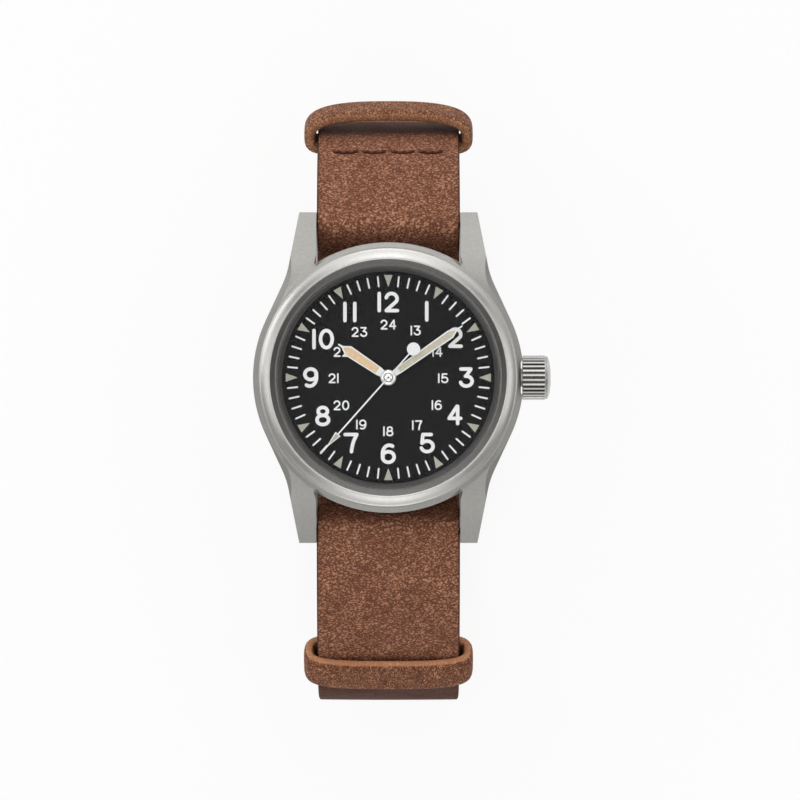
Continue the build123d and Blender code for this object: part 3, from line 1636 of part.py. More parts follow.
def make_bridge(circles, jewels, name):
    """Flat bridge stretched round bosses, drilled for its jewels."""
    with BuildPart() as bridge:
        with BuildSketch(Plane.XY.offset(movement_z)) as outline:
            for at in circles:
                with Locations(at):
                    Circle(bridge_boss_radius)
            make_hull()
        with BuildSketch(Plane.XY.offset(movement_z)) as edge:
            Circle(movement_radius - bridge_edge_gap)
        extrude(outline.sketch, bridge_thickness)
        extrude(edge.sketch, bridge_thickness, mode=Mode.INTERSECT)
        for at in jewels:
            add_disc(at, train_top_z - jewel_thickness, jewel_radius, jewel_thickness, Mode.SUBTRACT)
    keep(bridge.part, name)


train_jewels = [origin, third_at, escape_at]
make_bridge(train_jewels + train_pillars, train_jewels, "train_bridge")
make_bridge([balance_at, cock_pillar], [balance_at], "balance_cock")

with BuildPart() as jewels:
    for jewel_at in plate_jewels:
        add_disc(jewel_at, plate_z, jewel_radius, jewel_thickness)
        add_disc(jewel_at, plate_z, jewel_hole_radius, jewel_thickness, Mode.SUBTRACT)
    for jewel_at in train_jewels + [balance_at]:
        hole = seconds_arbor_radius + running_gap if jewel_at == origin else jewel_hole_radius
        add_disc(jewel_at, train_top_z - jewel_thickness, jewel_radius, jewel_thickness)
        add_disc(jewel_at, train_top_z - jewel_thickness, hole, jewel_thickness, Mode.SUBTRACT)
keep(jewels.part, "jewels")

with BuildPart() as bridge_screws:
    for screw_at in low_pillars:
        add_disc(screw_at, movement_z - screw_head_height, screw_head_radius, screw_head_height)
        with Locations((screw_at[0], screw_at[1], movement_z - screw_head_height)):
            Box(2 * screw_head_radius, screw_slot_width, 2 * screw_slot_depth, mode=Mode.SUBTRACT)
    for screw_at in barrel_pillars:
        add_disc(screw_at, barrel_bridge_z - screw_head_height, screw_head_radius, screw_head_height)
        with Locations((screw_at[0], screw_at[1], barrel_bridge_z - screw_head_height)):
            Box(2 * screw_head_radius, screw_slot_width, 2 * screw_slot_depth, mode=Mode.SUBTRACT)
    add_disc(
        crown_wheel_at,
        winding_wheel_z - running_gap - screw_head_height,
        winding_screw_radius,
        screw_head_height,
    )
keep(bridge_screws.part, "bridge_screws")
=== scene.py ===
"""Field watch on a closed leather strap, dressed over its packed construction.

Lengths are in millimetres unless a name says otherwise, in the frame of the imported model: +Z leaves the
dial, +Y points at 12 o'clock and +X at the crown. Meshes are written in metres.
"""

import logging
import math
from dataclasses import dataclass
from enum import Enum

import bmesh
import bpy
import numpy as np
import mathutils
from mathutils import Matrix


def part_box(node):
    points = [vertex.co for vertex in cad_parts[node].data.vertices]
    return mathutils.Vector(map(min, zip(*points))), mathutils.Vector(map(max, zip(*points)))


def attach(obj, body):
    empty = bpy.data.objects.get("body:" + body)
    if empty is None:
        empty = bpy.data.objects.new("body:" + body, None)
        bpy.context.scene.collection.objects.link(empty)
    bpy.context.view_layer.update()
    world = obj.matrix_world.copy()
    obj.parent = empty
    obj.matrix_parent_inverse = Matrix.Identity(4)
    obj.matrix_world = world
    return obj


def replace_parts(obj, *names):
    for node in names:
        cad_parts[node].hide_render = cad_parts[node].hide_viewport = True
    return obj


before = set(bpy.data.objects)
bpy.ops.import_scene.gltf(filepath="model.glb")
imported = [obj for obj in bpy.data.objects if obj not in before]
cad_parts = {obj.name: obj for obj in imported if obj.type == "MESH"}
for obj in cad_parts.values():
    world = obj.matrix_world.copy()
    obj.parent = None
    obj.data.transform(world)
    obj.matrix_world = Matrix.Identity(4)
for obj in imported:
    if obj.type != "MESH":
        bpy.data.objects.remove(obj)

MM = 0.001
SMOOTH_DEGREES = 35
LOG = logging.getLogger("field_watch")
Colour = tuple[float, float, float]
Vector = tuple[float, float, float]
Span = tuple[float, float]
Socket = bpy.types.NodeSocket
Feed = Socket | Colour | Vector | float


def linear(red: int, green: int, blue: int) -> Colour:
    """Turn a display colour into the linear values that shaders take.

    Args:
        red: Red from 0 to 255.
        green: Green from 0 to 255.
        blue: Blue from 0 to 255.

    Returns:
        The three linear values.
    """
    display = np.array([red, green, blue]) / 255
    low = display / 12.92
    high = ((display + 0.055) / 1.055) ** 2.4
    values = np.where(display <= 0.04045, low, high)
    return tuple(float(value) for value in values)


class Body(Enum):
    """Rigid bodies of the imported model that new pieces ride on."""

    CASE = "case"
    FREE_KEEPER = "sliding_keeper"
    SECONDS = "seconds"
    MINUTES = "minutes"


class Lay(Enum):
    """Coordinates that a pattern follows."""

    OBJECT = "Object"
    SKIN = "UV"


# Meshes


@dataclass
class Patch:
    """Grid of points, closed across its rows, that becomes one closed surface.

    Attributes:
        points: Array of rows by columns by three, in millimetres.
        along: Distance of each row along the piece, with one more at the end where the rows close.
        across: Distance of each column across the piece, and of the first one again at the end.
        rows_close: Whether the last row joins the first; otherwise a flat face closes either end.
        rim: Mask from 0 to 1 for each column, 1 on a cut edge.
    """

    points: np.ndarray
    along: np.ndarray
    across: np.ndarray
    rows_close: bool = False
    rim: np.ndarray | None = None

    def faces(self) -> tuple[np.ndarray, np.ndarray]:
        """Work out the quads and their skin coordinates.

        Each quad joins the points (i, j), (i + 1, j), (i + 1, j + 1) and (i, j + 1), counted round where
        a direction closes.

        Returns:
            Corner indices, four a quad, and skin coordinates of the same corners.
        """
        rows, columns = self.points.shape[:2]
        last_row = rows if self.rows_close else rows - 1
        i, j = np.meshgrid(np.arange(last_row), np.arange(columns), indexing="ij")
        corner_i = np.stack([i, i + 1, i + 1, i], axis=-1).reshape(-1, 4)
        corner_j = np.stack([j, j, j + 1, j + 1], axis=-1).reshape(-1, 4)
        index = (corner_i % rows) * columns + corner_j % columns
        skin = np.stack([self.along[corner_i], self.across[corner_j]], axis=-1) * MM
        return index, skin

    def ends(self) -> list[np.ndarray]:
        """Find what closes an open tube.

        Returns:
            A ring of indices for each of the two ends, or none where the rows close.
        """
        rows, columns = self.points.shape[:2]
        if self.rows_close:
            return []
        return [np.arange(columns), (rows - 1) * columns + np.arange(columns)[::-1]]


def make_mesh(name: str, patches: list[Patch]) -> bpy.types.Mesh:
    """Write patches into one mesh with skin coordinates and the mask of cut edges.

    Args:
        name: Name of the new mesh.
        patches: Closed surfaces that make the piece.

    Returns:
        The mesh, whose faces point outwards.
    """
    points, loops, sizes, skins, rims = [], [], [], [], []
    start = 0
    for patch in patches:
        rows, columns = patch.points.shape[:2]
        index, skin = patch.faces()
        points.append(patch.points.reshape(-1, 3))
        loops.append(index.reshape(-1) + start)
        sizes.append(np.full(len(index), 4))
        skins.append(skin.reshape(-1, 2))
        rims.append(np.tile(np.zeros(columns) if patch.rim is None else patch.rim, rows))
        for ring in patch.ends():
            loops.append(ring + start)
            sizes.append(np.array([len(ring)]))
            skins.append(np.zeros((len(ring), 2)))
        start += rows * columns
    mesh = bpy.data.meshes.new(name)
    coordinates = np.concatenate(points) * MM
    corners = np.concatenate(loops)
    face_sizes = np.concatenate(sizes)
    mesh.vertices.add(len(coordinates))
    mesh.vertices.foreach_set("co", coordinates.ravel())
    mesh.loops.add(len(corners))
    mesh.loops.foreach_set("vertex_index", corners.astype(np.int32))
    mesh.polygons.add(len(face_sizes))
    starts = np.concatenate([[0], np.cumsum(face_sizes)[:-1]])
    mesh.polygons.foreach_set("loop_start", starts.astype(np.int32))
    mesh.update(calc_edges=True)
    layer = mesh.uv_layers.new(name="skin")
    layer.uv.foreach_set("vector", np.concatenate(skins).ravel())
    mask = mesh.attributes.new("rim", "FLOAT", "POINT")
    mask.data.foreach_set("value", np.concatenate(rims))
    turn_outwards(mesh)
    return mesh


def turn_outwards(mesh: bpy.types.Mesh) -> None:
    """Make every face of closed surfaces point outwards, and shade them smoothly up to an angle.

    Args:
        mesh: Mesh to change.
    """
    work = bmesh.new()
    work.from_mesh(mesh)
    bmesh.ops.recalc_face_normals(work, faces=work.faces)
    work.to_mesh(mesh)
    work.free()
    mesh.polygons.foreach_set("use_smooth", np.ones(len(mesh.polygons), dtype=bool))
    mesh.set_sharp_from_angle(angle=math.radians(SMOOTH_DEGREES))


def put(name: str, content: bpy.types.ID) -> bpy.types.Object:
    """Put a mesh, a camera or a light into the scene.

    Args:
        name: Name of the new object.
        content: What the object holds.

    Returns:
        The object, at the origin.
    """
    made = bpy.data.objects.new(name, content)
    bpy.context.scene.collection.objects.link(made)
    return made


def make_piece(name: str, patches: list[Patch], body: Body, material: bpy.types.Material) -> bpy.types.Object:
    """Make a piece and set it on its body.

    Args:
        name: Name of the new object.
        patches: Closed surfaces that make the piece.
        body: Body that the piece rides on.
        material: Finish of the piece.

    Returns:
        The new object.
    """
    mesh = make_mesh(name, patches)
    mesh.materials.append(material)
    piece = put(name, mesh)
    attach(piece, body.value)
    LOG.info("%s: %d faces on %s", name, len(mesh.polygons), body.value)
    return piece


def distances(path: np.ndarray, closed: bool) -> np.ndarray:
    """Distance of each point along a path, and of the first one again where the path closes."""
    ring = np.concatenate([path, path[:1]]) if closed else path
    return np.concatenate([[0], np.cumsum(np.hypot(*np.diff(ring, axis=0).T))])


def turned(profile: tuple[Span, ...], steps: int, base: float) -> Patch:
    """Closed ring turned about the dial's axis.

    The point at turn a of a profile point (r, z) is (r cos a, r sin a, z).

    Args:
        profile: Radius and height of a closed outline, in order.
        steps: Facets round the ring.
        base: Level from which the heights count.

    Returns:
        The patch.
    """
    outline = np.array(profile) + [0, base]
    turn = np.linspace(0, 2 * np.pi, steps, endpoint=False)[:, None]
    radius = outline[None, :, 0]
    x = radius * np.cos(turn)
    y = radius * np.sin(turn)
    z = np.broadcast_to(outline[None, :, 1], x.shape)
    along = np.linspace(0, 2 * np.pi * outline[:, 0].max(), steps + 1)
    return Patch(np.stack([x, y, z], axis=-1), along, distances(outline, closed=True), rows_close=True)


def metres(span: Span) -> Span:
    """Turn the two ends of a span into metres."""
    return span[0] * MM, span[1] * MM


# Node trees


class Bench:
    """A node tree under construction, with a short call for each node that the finishes use."""

    def __init__(self, tree: bpy.types.NodeTree) -> None:
        """Start on an empty tree."""
        self.tree = tree
        tree.nodes.clear()

    def node(self, kind: str, **settings: object) -> bpy.types.Node:
        """Add a node.

        Args:
            kind: Blender's name of the node's type.
            settings: Plain properties of the node.

        Returns:
            The node.
        """
        made = self.tree.nodes.new(kind)
        for name, value in settings.items():
            setattr(made, name, value)
        return made

    def feed(self, node: bpy.types.Node, values: dict[str | int, Feed]) -> None:
        """Give inputs a link, where the value is a socket, or else a constant.

        Args:
            node: Node to feed.
            values: Name or number of each input, and what it takes.
        """
        for key, value in values.items():
            socket = node.inputs[key]
            if isinstance(value, Socket):
                self.tree.links.new(value, socket)
            else:
                socket.default_value = (*value, 1) if socket.type == "RGBA" else value

    def noise(self, vector: Socket, scale: Feed, detail: float, roughness: float = 0.5) -> bpy.types.Node:
        """Fractal noise.

        Args:
            vector: Coordinates, or a value that stands for them.
            scale: Size of the pattern.
            detail: Number of finer layers.
            roughness: Share of the finer layers.

        Returns:
            The node, whose Fac runs from 0 to 1.
        """
        made = self.node("ShaderNodeTexNoise")
        self.feed(made, {"Vector": vector, "Scale": scale, "Detail": detail, "Roughness": roughness})
        return made

    def borders(self, vector: Socket, scale: Feed) -> Socket:
        """Distance to the nearest border in a field of cells.

        Args:
            vector: Coordinates.
            scale: Size of the pattern.

        Returns:
            The distance.
        """
        made = self.node("ShaderNodeTexVoronoi", feature="DISTANCE_TO_EDGE")
        self.feed(made, {"Vector": vector, "Scale": scale})
        return made.outputs["Distance"]

    def sums(self, operation: str, *values: Feed) -> Socket:
        """One step of arithmetic.

        Args:
            operation: Blender's name of the step.
            values: One to three values.

        Returns:
            The result.
        """
        made = self.node("ShaderNodeMath", operation=operation)
        self.feed(made, dict(enumerate(values)))
        return made.outputs[0]

    def vectors(self, operation: str, *values: Feed) -> Socket:
        """One step of arithmetic on vectors.

        Args:
            operation: Blender's name of the step.
            values: One to three vectors.

        Returns:
            The resulting vector, or a value where the step is a length.
        """
        made = self.node("ShaderNodeVectorMath", operation=operation)
        self.feed(made, dict(enumerate(values)))
        return made.outputs["Value" if operation == "LENGTH" else "Vector"]

    def radius(self, vector: Socket, across: Vector) -> Socket:
        """Distance from an axis: the length of what a mask of ones and a zero leaves of a vector."""
        return self.vectors("LENGTH", self.vectors("MULTIPLY", vector, across))

    def axes(self, vector: Socket) -> dict[str, Socket]:
        """Split a vector.

        Args:
            vector: Vector to split.

        Returns:
            Its three values by the names X, Y and Z.
        """
        made = self.node("ShaderNodeSeparateXYZ")
        self.feed(made, {0: vector})
        return dict(made.outputs.items())

    def ramped(self, value: Socket, span: Span, ends: Span = (0.0, 1.0)) -> Socket:
        """Smooth step of a value.

        Args:
            value: Value that runs.
            span: Where the step starts and where it stops.
            ends: Results at the start and at the stop.

        Returns:
            The step.
        """
        made = self.node("ShaderNodeMapRange", interpolation_type="SMOOTHSTEP")
        self.feed(made, {"Value": value, "From Min": span[0], "From Max": span[1]})
        self.feed(made, {"To Min": ends[0], "To Max": ends[1]})
        return made.outputs["Result"]

    def blended(self, share: Feed, first: Feed, second: Feed) -> Socket:
        """Mix of two colours.

        Args:
            share: Share of the second colour.
            first: First colour.
            second: Second colour.

        Returns:
            The mixed colour.
        """
        made = self.node("ShaderNodeMix", data_type="RGBA")
        self.feed(made, {"Factor": share, 6: first, 7: second})
        return made.outputs[2]

    def bumped(self, height: Socket, depth_m: float, over: Socket | None = None) -> Socket:
        """Normal of a height.

        Args:
            height: Height from 0 to 1.
            depth_m: Its full depth in metres.
            over: Normal that it lies over, where there is one.

        Returns:
            The normal.
        """
        made = self.node("ShaderNodeBump")
        self.feed(made, {"Strength": 1.0, "Distance": depth_m, "Height": height})
        if over is not None:
            self.feed(made, {"Normal": over})
        return made.outputs["Normal"]

    def coordinates(self, lay: Lay, stretch: Vector = (1, 1, 1), turn: float = 0.0) -> Socket:
        """Pattern coordinates.

        Args:
            lay: What the pattern follows.
            stretch: Scale along each axis.
            turn: Turn in the pattern's own plane, in degrees.

        Returns:
            The coordinates.
        """
        source = self.node("ShaderNodeTexCoord").outputs[lay.value]
        placed = self.node("ShaderNodeMapping")
        self.feed(placed, {"Vector": source, "Scale": stretch, "Rotation": (0, 0, math.radians(turn))})
        return placed.outputs["Vector"]

    def group(self, tree: bpy.types.NodeTree, vector: Socket, scale: float) -> dict[str, Socket]:
        """Place a shared effect.

        Args:
            tree: The effect.
            vector: Coordinates.
            scale: Size of its pattern.

        Returns:
            Its outputs by name.
        """
        made = self.node("ShaderNodeGroup", node_tree=tree)
        self.feed(made, {"Vector": vector, "Scale": scale})
        return dict(made.outputs.items())


def new_group(
    name: str, scale: float, outputs: tuple[str, ...]
) -> tuple[Bench, Socket, Socket, bpy.types.Node]:
    """Start a shared effect that takes a vector and a scale.

    Args:
        name: Name of the node group.
        scale: Scale where none is given.
        outputs: Names of the values that it puts out.

    Returns:
        The bench of the new tree, the vector, the scale and the output node.
    """
    bench = Bench(bpy.data.node_groups.new(name, "ShaderNodeTree"))
    sockets = bench.tree.interface
    sockets.new_socket(name="Vector", in_out="INPUT", socket_type="NodeSocketVector")
    size = sockets.new_socket(name="Scale", in_out="INPUT", socket_type="NodeSocketFloat")
    size.default_value = scale
    for label in outputs:
        sockets.new_socket(name=label, in_out="OUTPUT", socket_type="NodeSocketFloat")
    start = bench.node("NodeGroupInput").outputs
    return bench, start["Vector"], start["Scale"], bench.node("NodeGroupOutput")


class Effects:
    """Shared effects, each built once."""

    def __init__(self) -> None:
        """Build the groups."""
        self.hide = self.build_hide()
        self.speckle = self.build_speckle()
        self.handling = self.build_handling()

    @staticmethod
    def build_hide() -> bpy.types.NodeTree:
        """Leather: fine folds and pebbles, pores and a slow mottle.

        A fold lies where a noise crosses its middle value, a pebble grows with the distance to the border
        of its cell, and noise pushes the coordinates of both about. The height is 0.45 of the folds plus
        0.3 of the pebbles plus 0.25 of the pores, and where it is low there is a crease, which the leathers
        darken partly as grain colour and partly as painted shade.

        Returns:
            The group.
        """
        bench, vector, scale, end = new_group("hide_grain", 2400.0, ("Height", "Crease", "Mottle"))
        push = bench.noise(vector, bench.sums("MULTIPLY", scale, 0.5), 3).outputs["Color"]
        warped = bench.vectors("MULTIPLY_ADD", push, (0.0006, 0.0006, 0.0006), vector)
        wrinkle = bench.noise(warped, bench.sums("MULTIPLY", scale, 0.8), 5, 0.65).outputs["Fac"]
        ridge = bench.sums("ABSOLUTE", bench.sums("MULTIPLY_ADD", wrinkle, 2.0, -1.0))
        fold = bench.ramped(ridge, (0.0, 0.5))
        pebble = bench.ramped(bench.borders(warped, scale), (0.0, 0.5))
        pores = bench.noise(vector, bench.sums("MULTIPLY", scale, 3.0), 3, 0.6).outputs["Fac"]
        grain = bench.sums("MULTIPLY_ADD", fold, 0.45, bench.sums("MULTIPLY", pebble, 0.3))
        height = bench.sums("MULTIPLY_ADD", pores, 0.25, grain)
        crease = bench.ramped(height, (0.12, 0.5), (1.0, 0.0))
        mottle = bench.noise(vector, bench.sums("MULTIPLY", scale, 0.11), 5, 0.65).outputs["Fac"]
        bench.feed(end, {"Height": height, "Crease": crease, "Mottle": mottle})
        return bench.tree

    @staticmethod
    def build_speckle() -> bpy.types.NodeTree:
        """Blasted or cast surface: fine grains of height and a fine change of tone.

        Returns:
            The group.
        """
        bench, vector, scale, end = new_group("fine_speckle", 6000.0, ("Height", "Tone"))
        grains = bench.noise(vector, scale, 2, 0.6).outputs["Fac"]
        cloud = bench.noise(vector, bench.sums("MULTIPLY", scale, 0.45), 3, 0.7).outputs["Fac"]
        bench.feed(end, {"Height": grains, "Tone": bench.ramped(cloud, (0.3, 0.7))})
        return bench.tree

    @staticmethod
    def build_handling() -> bpy.types.NodeTree:
        """Slow smudges that handling leaves in a surface's gloss.

        Returns:
            The group.
        """
        bench, vector, scale, end = new_group("handling", 180.0, ("Smudge",))
        cloud = bench.noise(vector, scale, 5, 0.6).outputs["Fac"]
        bench.feed(end, {"Smudge": bench.ramped(cloud, (0.35, 0.65))})
        return bench.tree


# Finishes


class Finish:
    """A finish starts a material with a Principled shader, and its kind gives the shader's inputs."""

    name: str

    def build(self, effects: Effects) -> bpy.types.Material:
        """Make the material.

        Args:
            effects: Shared effects.

        Returns:
            The material.
        """
        material = bpy.data.materials.new(self.name)
        material.use_nodes = True
        bench = Bench(material.node_tree)
        shader = bench.node("ShaderNodeBsdfPrincipled")
        bench.feed(bench.node("ShaderNodeOutputMaterial"), {"Surface": shader.outputs["BSDF"]})
        bench.feed(shader, self.inputs(bench, effects))
        return material

    def inputs(self, bench: Bench, effects: Effects) -> dict[str, Feed]:
        """Work out the shader's inputs; each kind of finish does."""
        raise NotImplementedError


@dataclass(frozen=True)
class Leather(Finish):
    """Grained leather with dark creases, part grain colour and part painted shade, and burnished cut edges,
    which on the keepers carry a paler painted highlight.

    The two places of painted shade, where the keepers shade the tops of both end bends, are spans outwards
    along Y, away from the dial, and upwards along Z.
    """

    name: str = "strap_leather"
    light: Colour = linear(196, 142, 112)
    deep: Colour = linear(168, 116, 90)
    # Crease tone: part the grain's own colour, part painted shade in the recesses.
    crease: Colour = linear(88, 49, 34)
    crease_share: float = 0.95
    # Edge tone: dark edge paint on the strap, a paler painted highlight on the keepers.
    edge: Colour = linear(50, 30, 24)
    edge_share: float = 1.0
    scale: float = 2400.0
    depth_m: float = 0.0001
    roughness: float = 0.66
    smudge_scale: float = 90.0
    smudge_change: float = 0.12
    specular: float = 0.14
    stretch: Vector = (1.35, 0.8, 1.0)
    turn: float = 32.0
    mottle_span: Span = (0.32, 0.68)
    rim_span: Span = (0.25, 0.8)
    # Painted shade: a dark tone laid where the keepers shade the strap's end bends.
    painted_shade: Colour = linear(64, 28, 11)
    painted_shade_share: float = 0.0
    painted_shade_upper: tuple[Span, Span] = ((34.1, 35.4), (32.0, 33.5))
    painted_shade_lower: tuple[Span, Span] = ((43.0, 43.8), (20.0, 25.2))

    def inputs(self, bench: Bench, effects: Effects) -> dict[str, Feed]:
        """Mix the tones by mottle and by crease, the crease partly painted shade, then tint the cut edge,
        dark on the strap and a painted highlight on the keepers, and add the painted shade under the keepers.

        Args:
            bench: Tree to build in.
            effects: Shared effects.

        Returns:
            The shader's inputs.
        """
        vector = bench.coordinates(Lay.SKIN, self.stretch, self.turn)
        grain = bench.group(effects.hide, vector, self.scale)
        smudge = bench.group(effects.handling, vector, self.smudge_scale)["Smudge"]
        tone = bench.blended(bench.ramped(grain["Mottle"], self.mottle_span), self.deep, self.light)
        # Darken the creases: part grain colour, part painted shade.
        tone = bench.blended(bench.sums("MULTIPLY", grain["Crease"], self.crease_share), tone, self.crease)
        rim = bench.node("ShaderNodeAttribute", attribute_name="rim").outputs["Fac"]
        # Cut edge: dark edge paint on the strap, a painted highlight on the keepers.
        edge_paint_and_highlight = bench.sums("MULTIPLY", bench.ramped(rim, self.rim_span), self.edge_share)
        tone = bench.blended(edge_paint_and_highlight, tone, self.edge)
        # Painted shade under the keepers, at the tops of both end bends.
        if self.painted_shade_share:
            tone = bench.blended(self.painted_shade_mask(bench), tone, self.painted_shade)
        least = self.roughness - self.smudge_change / 2
        return {
            "Base Color": tone,
            "Roughness": bench.sums("MULTIPLY_ADD", smudge, self.smudge_change, least),
            "Specular IOR Level": self.specular,
            "Normal": bench.bumped(grain["Height"], self.depth_m),
        }

    def painted_shade_mask(self, bench: Bench) -> Socket:
        """Share of painted shade where the two keepers shade the strap, at the tops of both end bends.

        At each end it is a smooth step outwards times a smooth step upwards.

        Args:
            bench: Tree to build in.

        Returns:
            The share.
        """
        place = bench.axes(bench.coordinates(Lay.OBJECT))
        ends = []
        for way, (outwards, upwards) in ((1.0, self.painted_shade_upper), (-1.0, self.painted_shade_lower)):
            out = bench.ramped(bench.sums("MULTIPLY", place["Y"], way), metres(outwards))
            ends.append(bench.sums("MULTIPLY", out, bench.ramped(place["Z"], metres(upwards))))
        return bench.sums("MULTIPLY", bench.sums("MAXIMUM", *ends), self.painted_shade_share)


@dataclass(frozen=True)
class Blasted(Finish):
    """Bead-blasted or satin metal with a fine speckle, and a rounded shoulder between two radii."""

    name: str = "blasted_steel"
    colour: Colour = (0.378, 0.369, 0.35)
    shade: Colour = (0.338, 0.329, 0.31)
    roughness: float = 0.42
    scale: float = 7000.0
    depth_m: float = 0.000012
    smudge_scale: float = 160.0
    smudge_change: float = 0.05
    shoulder_span: Span = (18.2, 19.0)
    shoulder_depth: float = 0.0

    def inputs(self, bench: Bench, effects: Effects) -> dict[str, Feed]:
        """Speckle the tone and the height, and smudge the gloss.

        Args:
            bench: Tree to build in.
            effects: Shared effects.

        Returns:
            The shader's inputs.
        """
        vector = bench.coordinates(Lay.OBJECT)
        speckle = bench.group(effects.speckle, vector, self.scale)
        smudge = bench.group(effects.handling, vector, self.smudge_scale)["Smudge"]
        shoulder = self.shoulder(bench, vector) if self.shoulder_depth else None
        return {
            "Base Color": bench.blended(speckle["Tone"], self.shade, self.colour),
            "Metallic": 1.0,
            "Roughness": bench.sums("MULTIPLY_ADD", smudge, self.smudge_change, self.roughness),
            "Normal": bench.bumped(speckle["Height"], self.depth_m, shoulder),
        }

    def shoulder(self, bench: Bench, vector: Socket) -> Socket:
        """Normal of a ring that falls outwards, so that a plain bevel reads as round."""
        fall = bench.ramped(bench.radius(vector, (1, 1, 0)), metres(self.shoulder_span), (1.0, 0.0))
        return bench.bumped(fall, self.shoulder_depth * MM)


@dataclass(frozen=True)
class Lathed(Finish):
    """Metal with the fine rings that a lathe leaves about the dial's axis."""

    name: str = "lathed_steel"
    # Default tone, taken only by the bezel's slope: darker than the bezel's steel, as painted shade for its
    # dark reflections.
    colour: Colour = (0.25, 0.245, 0.236)
    shade_share: float = 0.82
    roughness: float = 0.38
    scale: float = 7000.0
    ring_scale: float = 900.0
    depth_m: float = 0.000004

    def inputs(self, bench: Bench, effects: Effects) -> dict[str, Feed]:
        """Read noise along the radius only, so that it forms rings.

        Args:
            bench: Tree to build in.
            effects: Shared effects.

        Returns:
            The shader's inputs.
        """
        vector = bench.coordinates(Lay.OBJECT)
        reach = bench.sums("MULTIPLY", bench.radius(vector, (1, 1, 0)), self.ring_scale)
        rings = bench.noise(reach, 4.0, 3).outputs["Fac"]
        speckle = bench.group(effects.speckle, vector, self.scale)
        shade = tuple(value * self.shade_share for value in self.colour)
        return {
            "Base Color": bench.blended(speckle["Tone"], shade, self.colour),
            "Metallic": 1.0,
            "Roughness": self.roughness,
            "Normal": bench.bumped(rings, self.depth_m),
        }


@dataclass(frozen=True)
class Fluted(Finish):
    """Crown steel, bright on the ridges, with painted shade in the flutes."""

    name: str = "crown_steel"
    colour: Colour = (0.5, 0.49, 0.475)
    # Painted shade: a dark tone in the flutes.
    flute_shade: Colour = (0.05, 0.047, 0.044)
    flute_shade_gain: float = 1.6
    roughness: float = 0.24
    scale: float = 8000.0
    smudge_scale: float = 300.0
    smudge_change: float = 0.06
    ridge_span: Span = (2.91, 3.09)
    face_depths: Span = (0.8, 0.5)

    def inputs(self, bench: Bench, effects: Effects) -> dict[str, Feed]:
        """Paint shade on what lies closer to the stem's axis than the ridges, but not on the outer face.

        Args:
            bench: Tree to build in.
            effects: Shared effects.

        Returns:
            The shader's inputs.
        """
        vector = bench.coordinates(Lay.OBJECT)
        low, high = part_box("crown")
        axis = (0, (low[1] + high[1]) / 2, (low[2] + high[2]) / 2)
        reach = bench.radius(bench.vectors("SUBTRACT", vector, axis), (0, 1, 1))
        ridge_share = bench.ramped(reach, metres(self.ridge_span))
        first, last = metres(self.face_depths)
        face = bench.ramped(bench.axes(vector)["X"], (high[0] - first, high[0] - last))
        speckle = bench.group(effects.speckle, vector, self.scale)
        # Painted shade in the flutes, speckled between two dark tones.
        paler = tuple(value * self.flute_shade_gain for value in self.flute_shade)
        flute_shade_tone = bench.blended(speckle["Tone"], self.flute_shade, paler)
        smudge = bench.group(effects.handling, vector, self.smudge_scale)["Smudge"]
        return {
            "Base Color": bench.blended(bench.sums("MAXIMUM", ridge_share, face), flute_shade_tone, self.colour),
            "Metallic": 1.0,
            "Roughness": bench.sums("MULTIPLY_ADD", smudge, self.smudge_change, self.roughness),
        }


@dataclass(frozen=True)
class Coat(Finish):
    """Lacquer, enamel, print, moulded plastic or rubber: one tone with a fine change."""

    name: str
    colour: Colour
    shade: Colour
    roughness: float
    scale: float = 2500.0
    depth_m: float = 0.000003
    specular: float = 0.5

    def inputs(self, bench: Bench, effects: Effects) -> dict[str, Feed]:
        """Mix the two tones by a fine speckle.

        Args:
            bench: Tree to build in.
            effects: Shared effects.

        Returns:
            The shader's inputs.
        """
        speckle = bench.group(effects.speckle, bench.coordinates(Lay.OBJECT), self.scale)
        return {
            "Base Color": bench.blended(speckle["Tone"], self.shade, self.colour),
            "Roughness": self.roughness,
            "Specular IOR Level": self.specular,
            "Normal": bench.bumped(speckle["Height"], self.depth_m),
        }


@dataclass(frozen=True)
class Crystal(Finish):
    """Clear flat crystal with a thin coat against glare, which lets most light straight through."""

    name: str = "clear_crystal"
    tint: Colour = (0.96, 0.98, 1.0)
    opacity: float = 0.12
    index: float = 1.5
    specular: float = 0.2
    smudge_scale: float = 60.0
    smudge_change: float = 0.02

    def inputs(self, bench: Bench, effects: Effects) -> dict[str, Feed]:
        """Make it glass with faint smudges.

        Args:
            bench: Tree to build in.
            effects: Shared effects.

        Returns:
            The shader's inputs.
        """
        smudge = bench.group(effects.handling, bench.coordinates(Lay.OBJECT), self.smudge_scale)["Smudge"]
        return {
            "Base Color": self.tint,
            "Roughness": bench.sums("MULTIPLY", smudge, self.smudge_change),
            "Transmission Weight": 1.0,
            "IOR": self.index,
            "Specular IOR Level": self.specular,
            "Alpha": self.opacity,
        }


@dataclass(frozen=True)
class Thread(Finish):
    """Waxed thread with its twist along the stitch."""

    name: str = "seam_thread"
    colour: Colour = linear(118, 66, 46)
    shade: Colour = linear(64, 33, 23)
    twist_scale: float = 340.0
    twist_degrees: float = 35.0
    unevenness: float = 0.6
    depth_m: float = 0.00006
    roughness: float = 0.6
    specular: float = 0.12

    def inputs(self, bench: Bench, effects: Effects) -> dict[str, Feed]:
        """Lay slanted bands from a wave on the thread's own skin.

        Args:
            bench: Tree to build in.
            effects: Shared effects, none of which it takes.

        Returns:
            The shader's inputs.
        """
        wave = bench.node("ShaderNodeTexWave")
        vector = bench.coordinates(Lay.SKIN, turn=self.twist_degrees)
        bench.feed(wave, {"Vector": vector, "Scale": self.twist_scale, "Distortion": self.unevenness})
        return {
            "Base Color": bench.blended(wave.outputs["Fac"], self.shade, self.colour),
            "Roughness": self.roughness,
            "Specular IOR Level": self.specular,
            "Normal": bench.bumped(wave.outputs["Fac"], self.depth_m),
        }


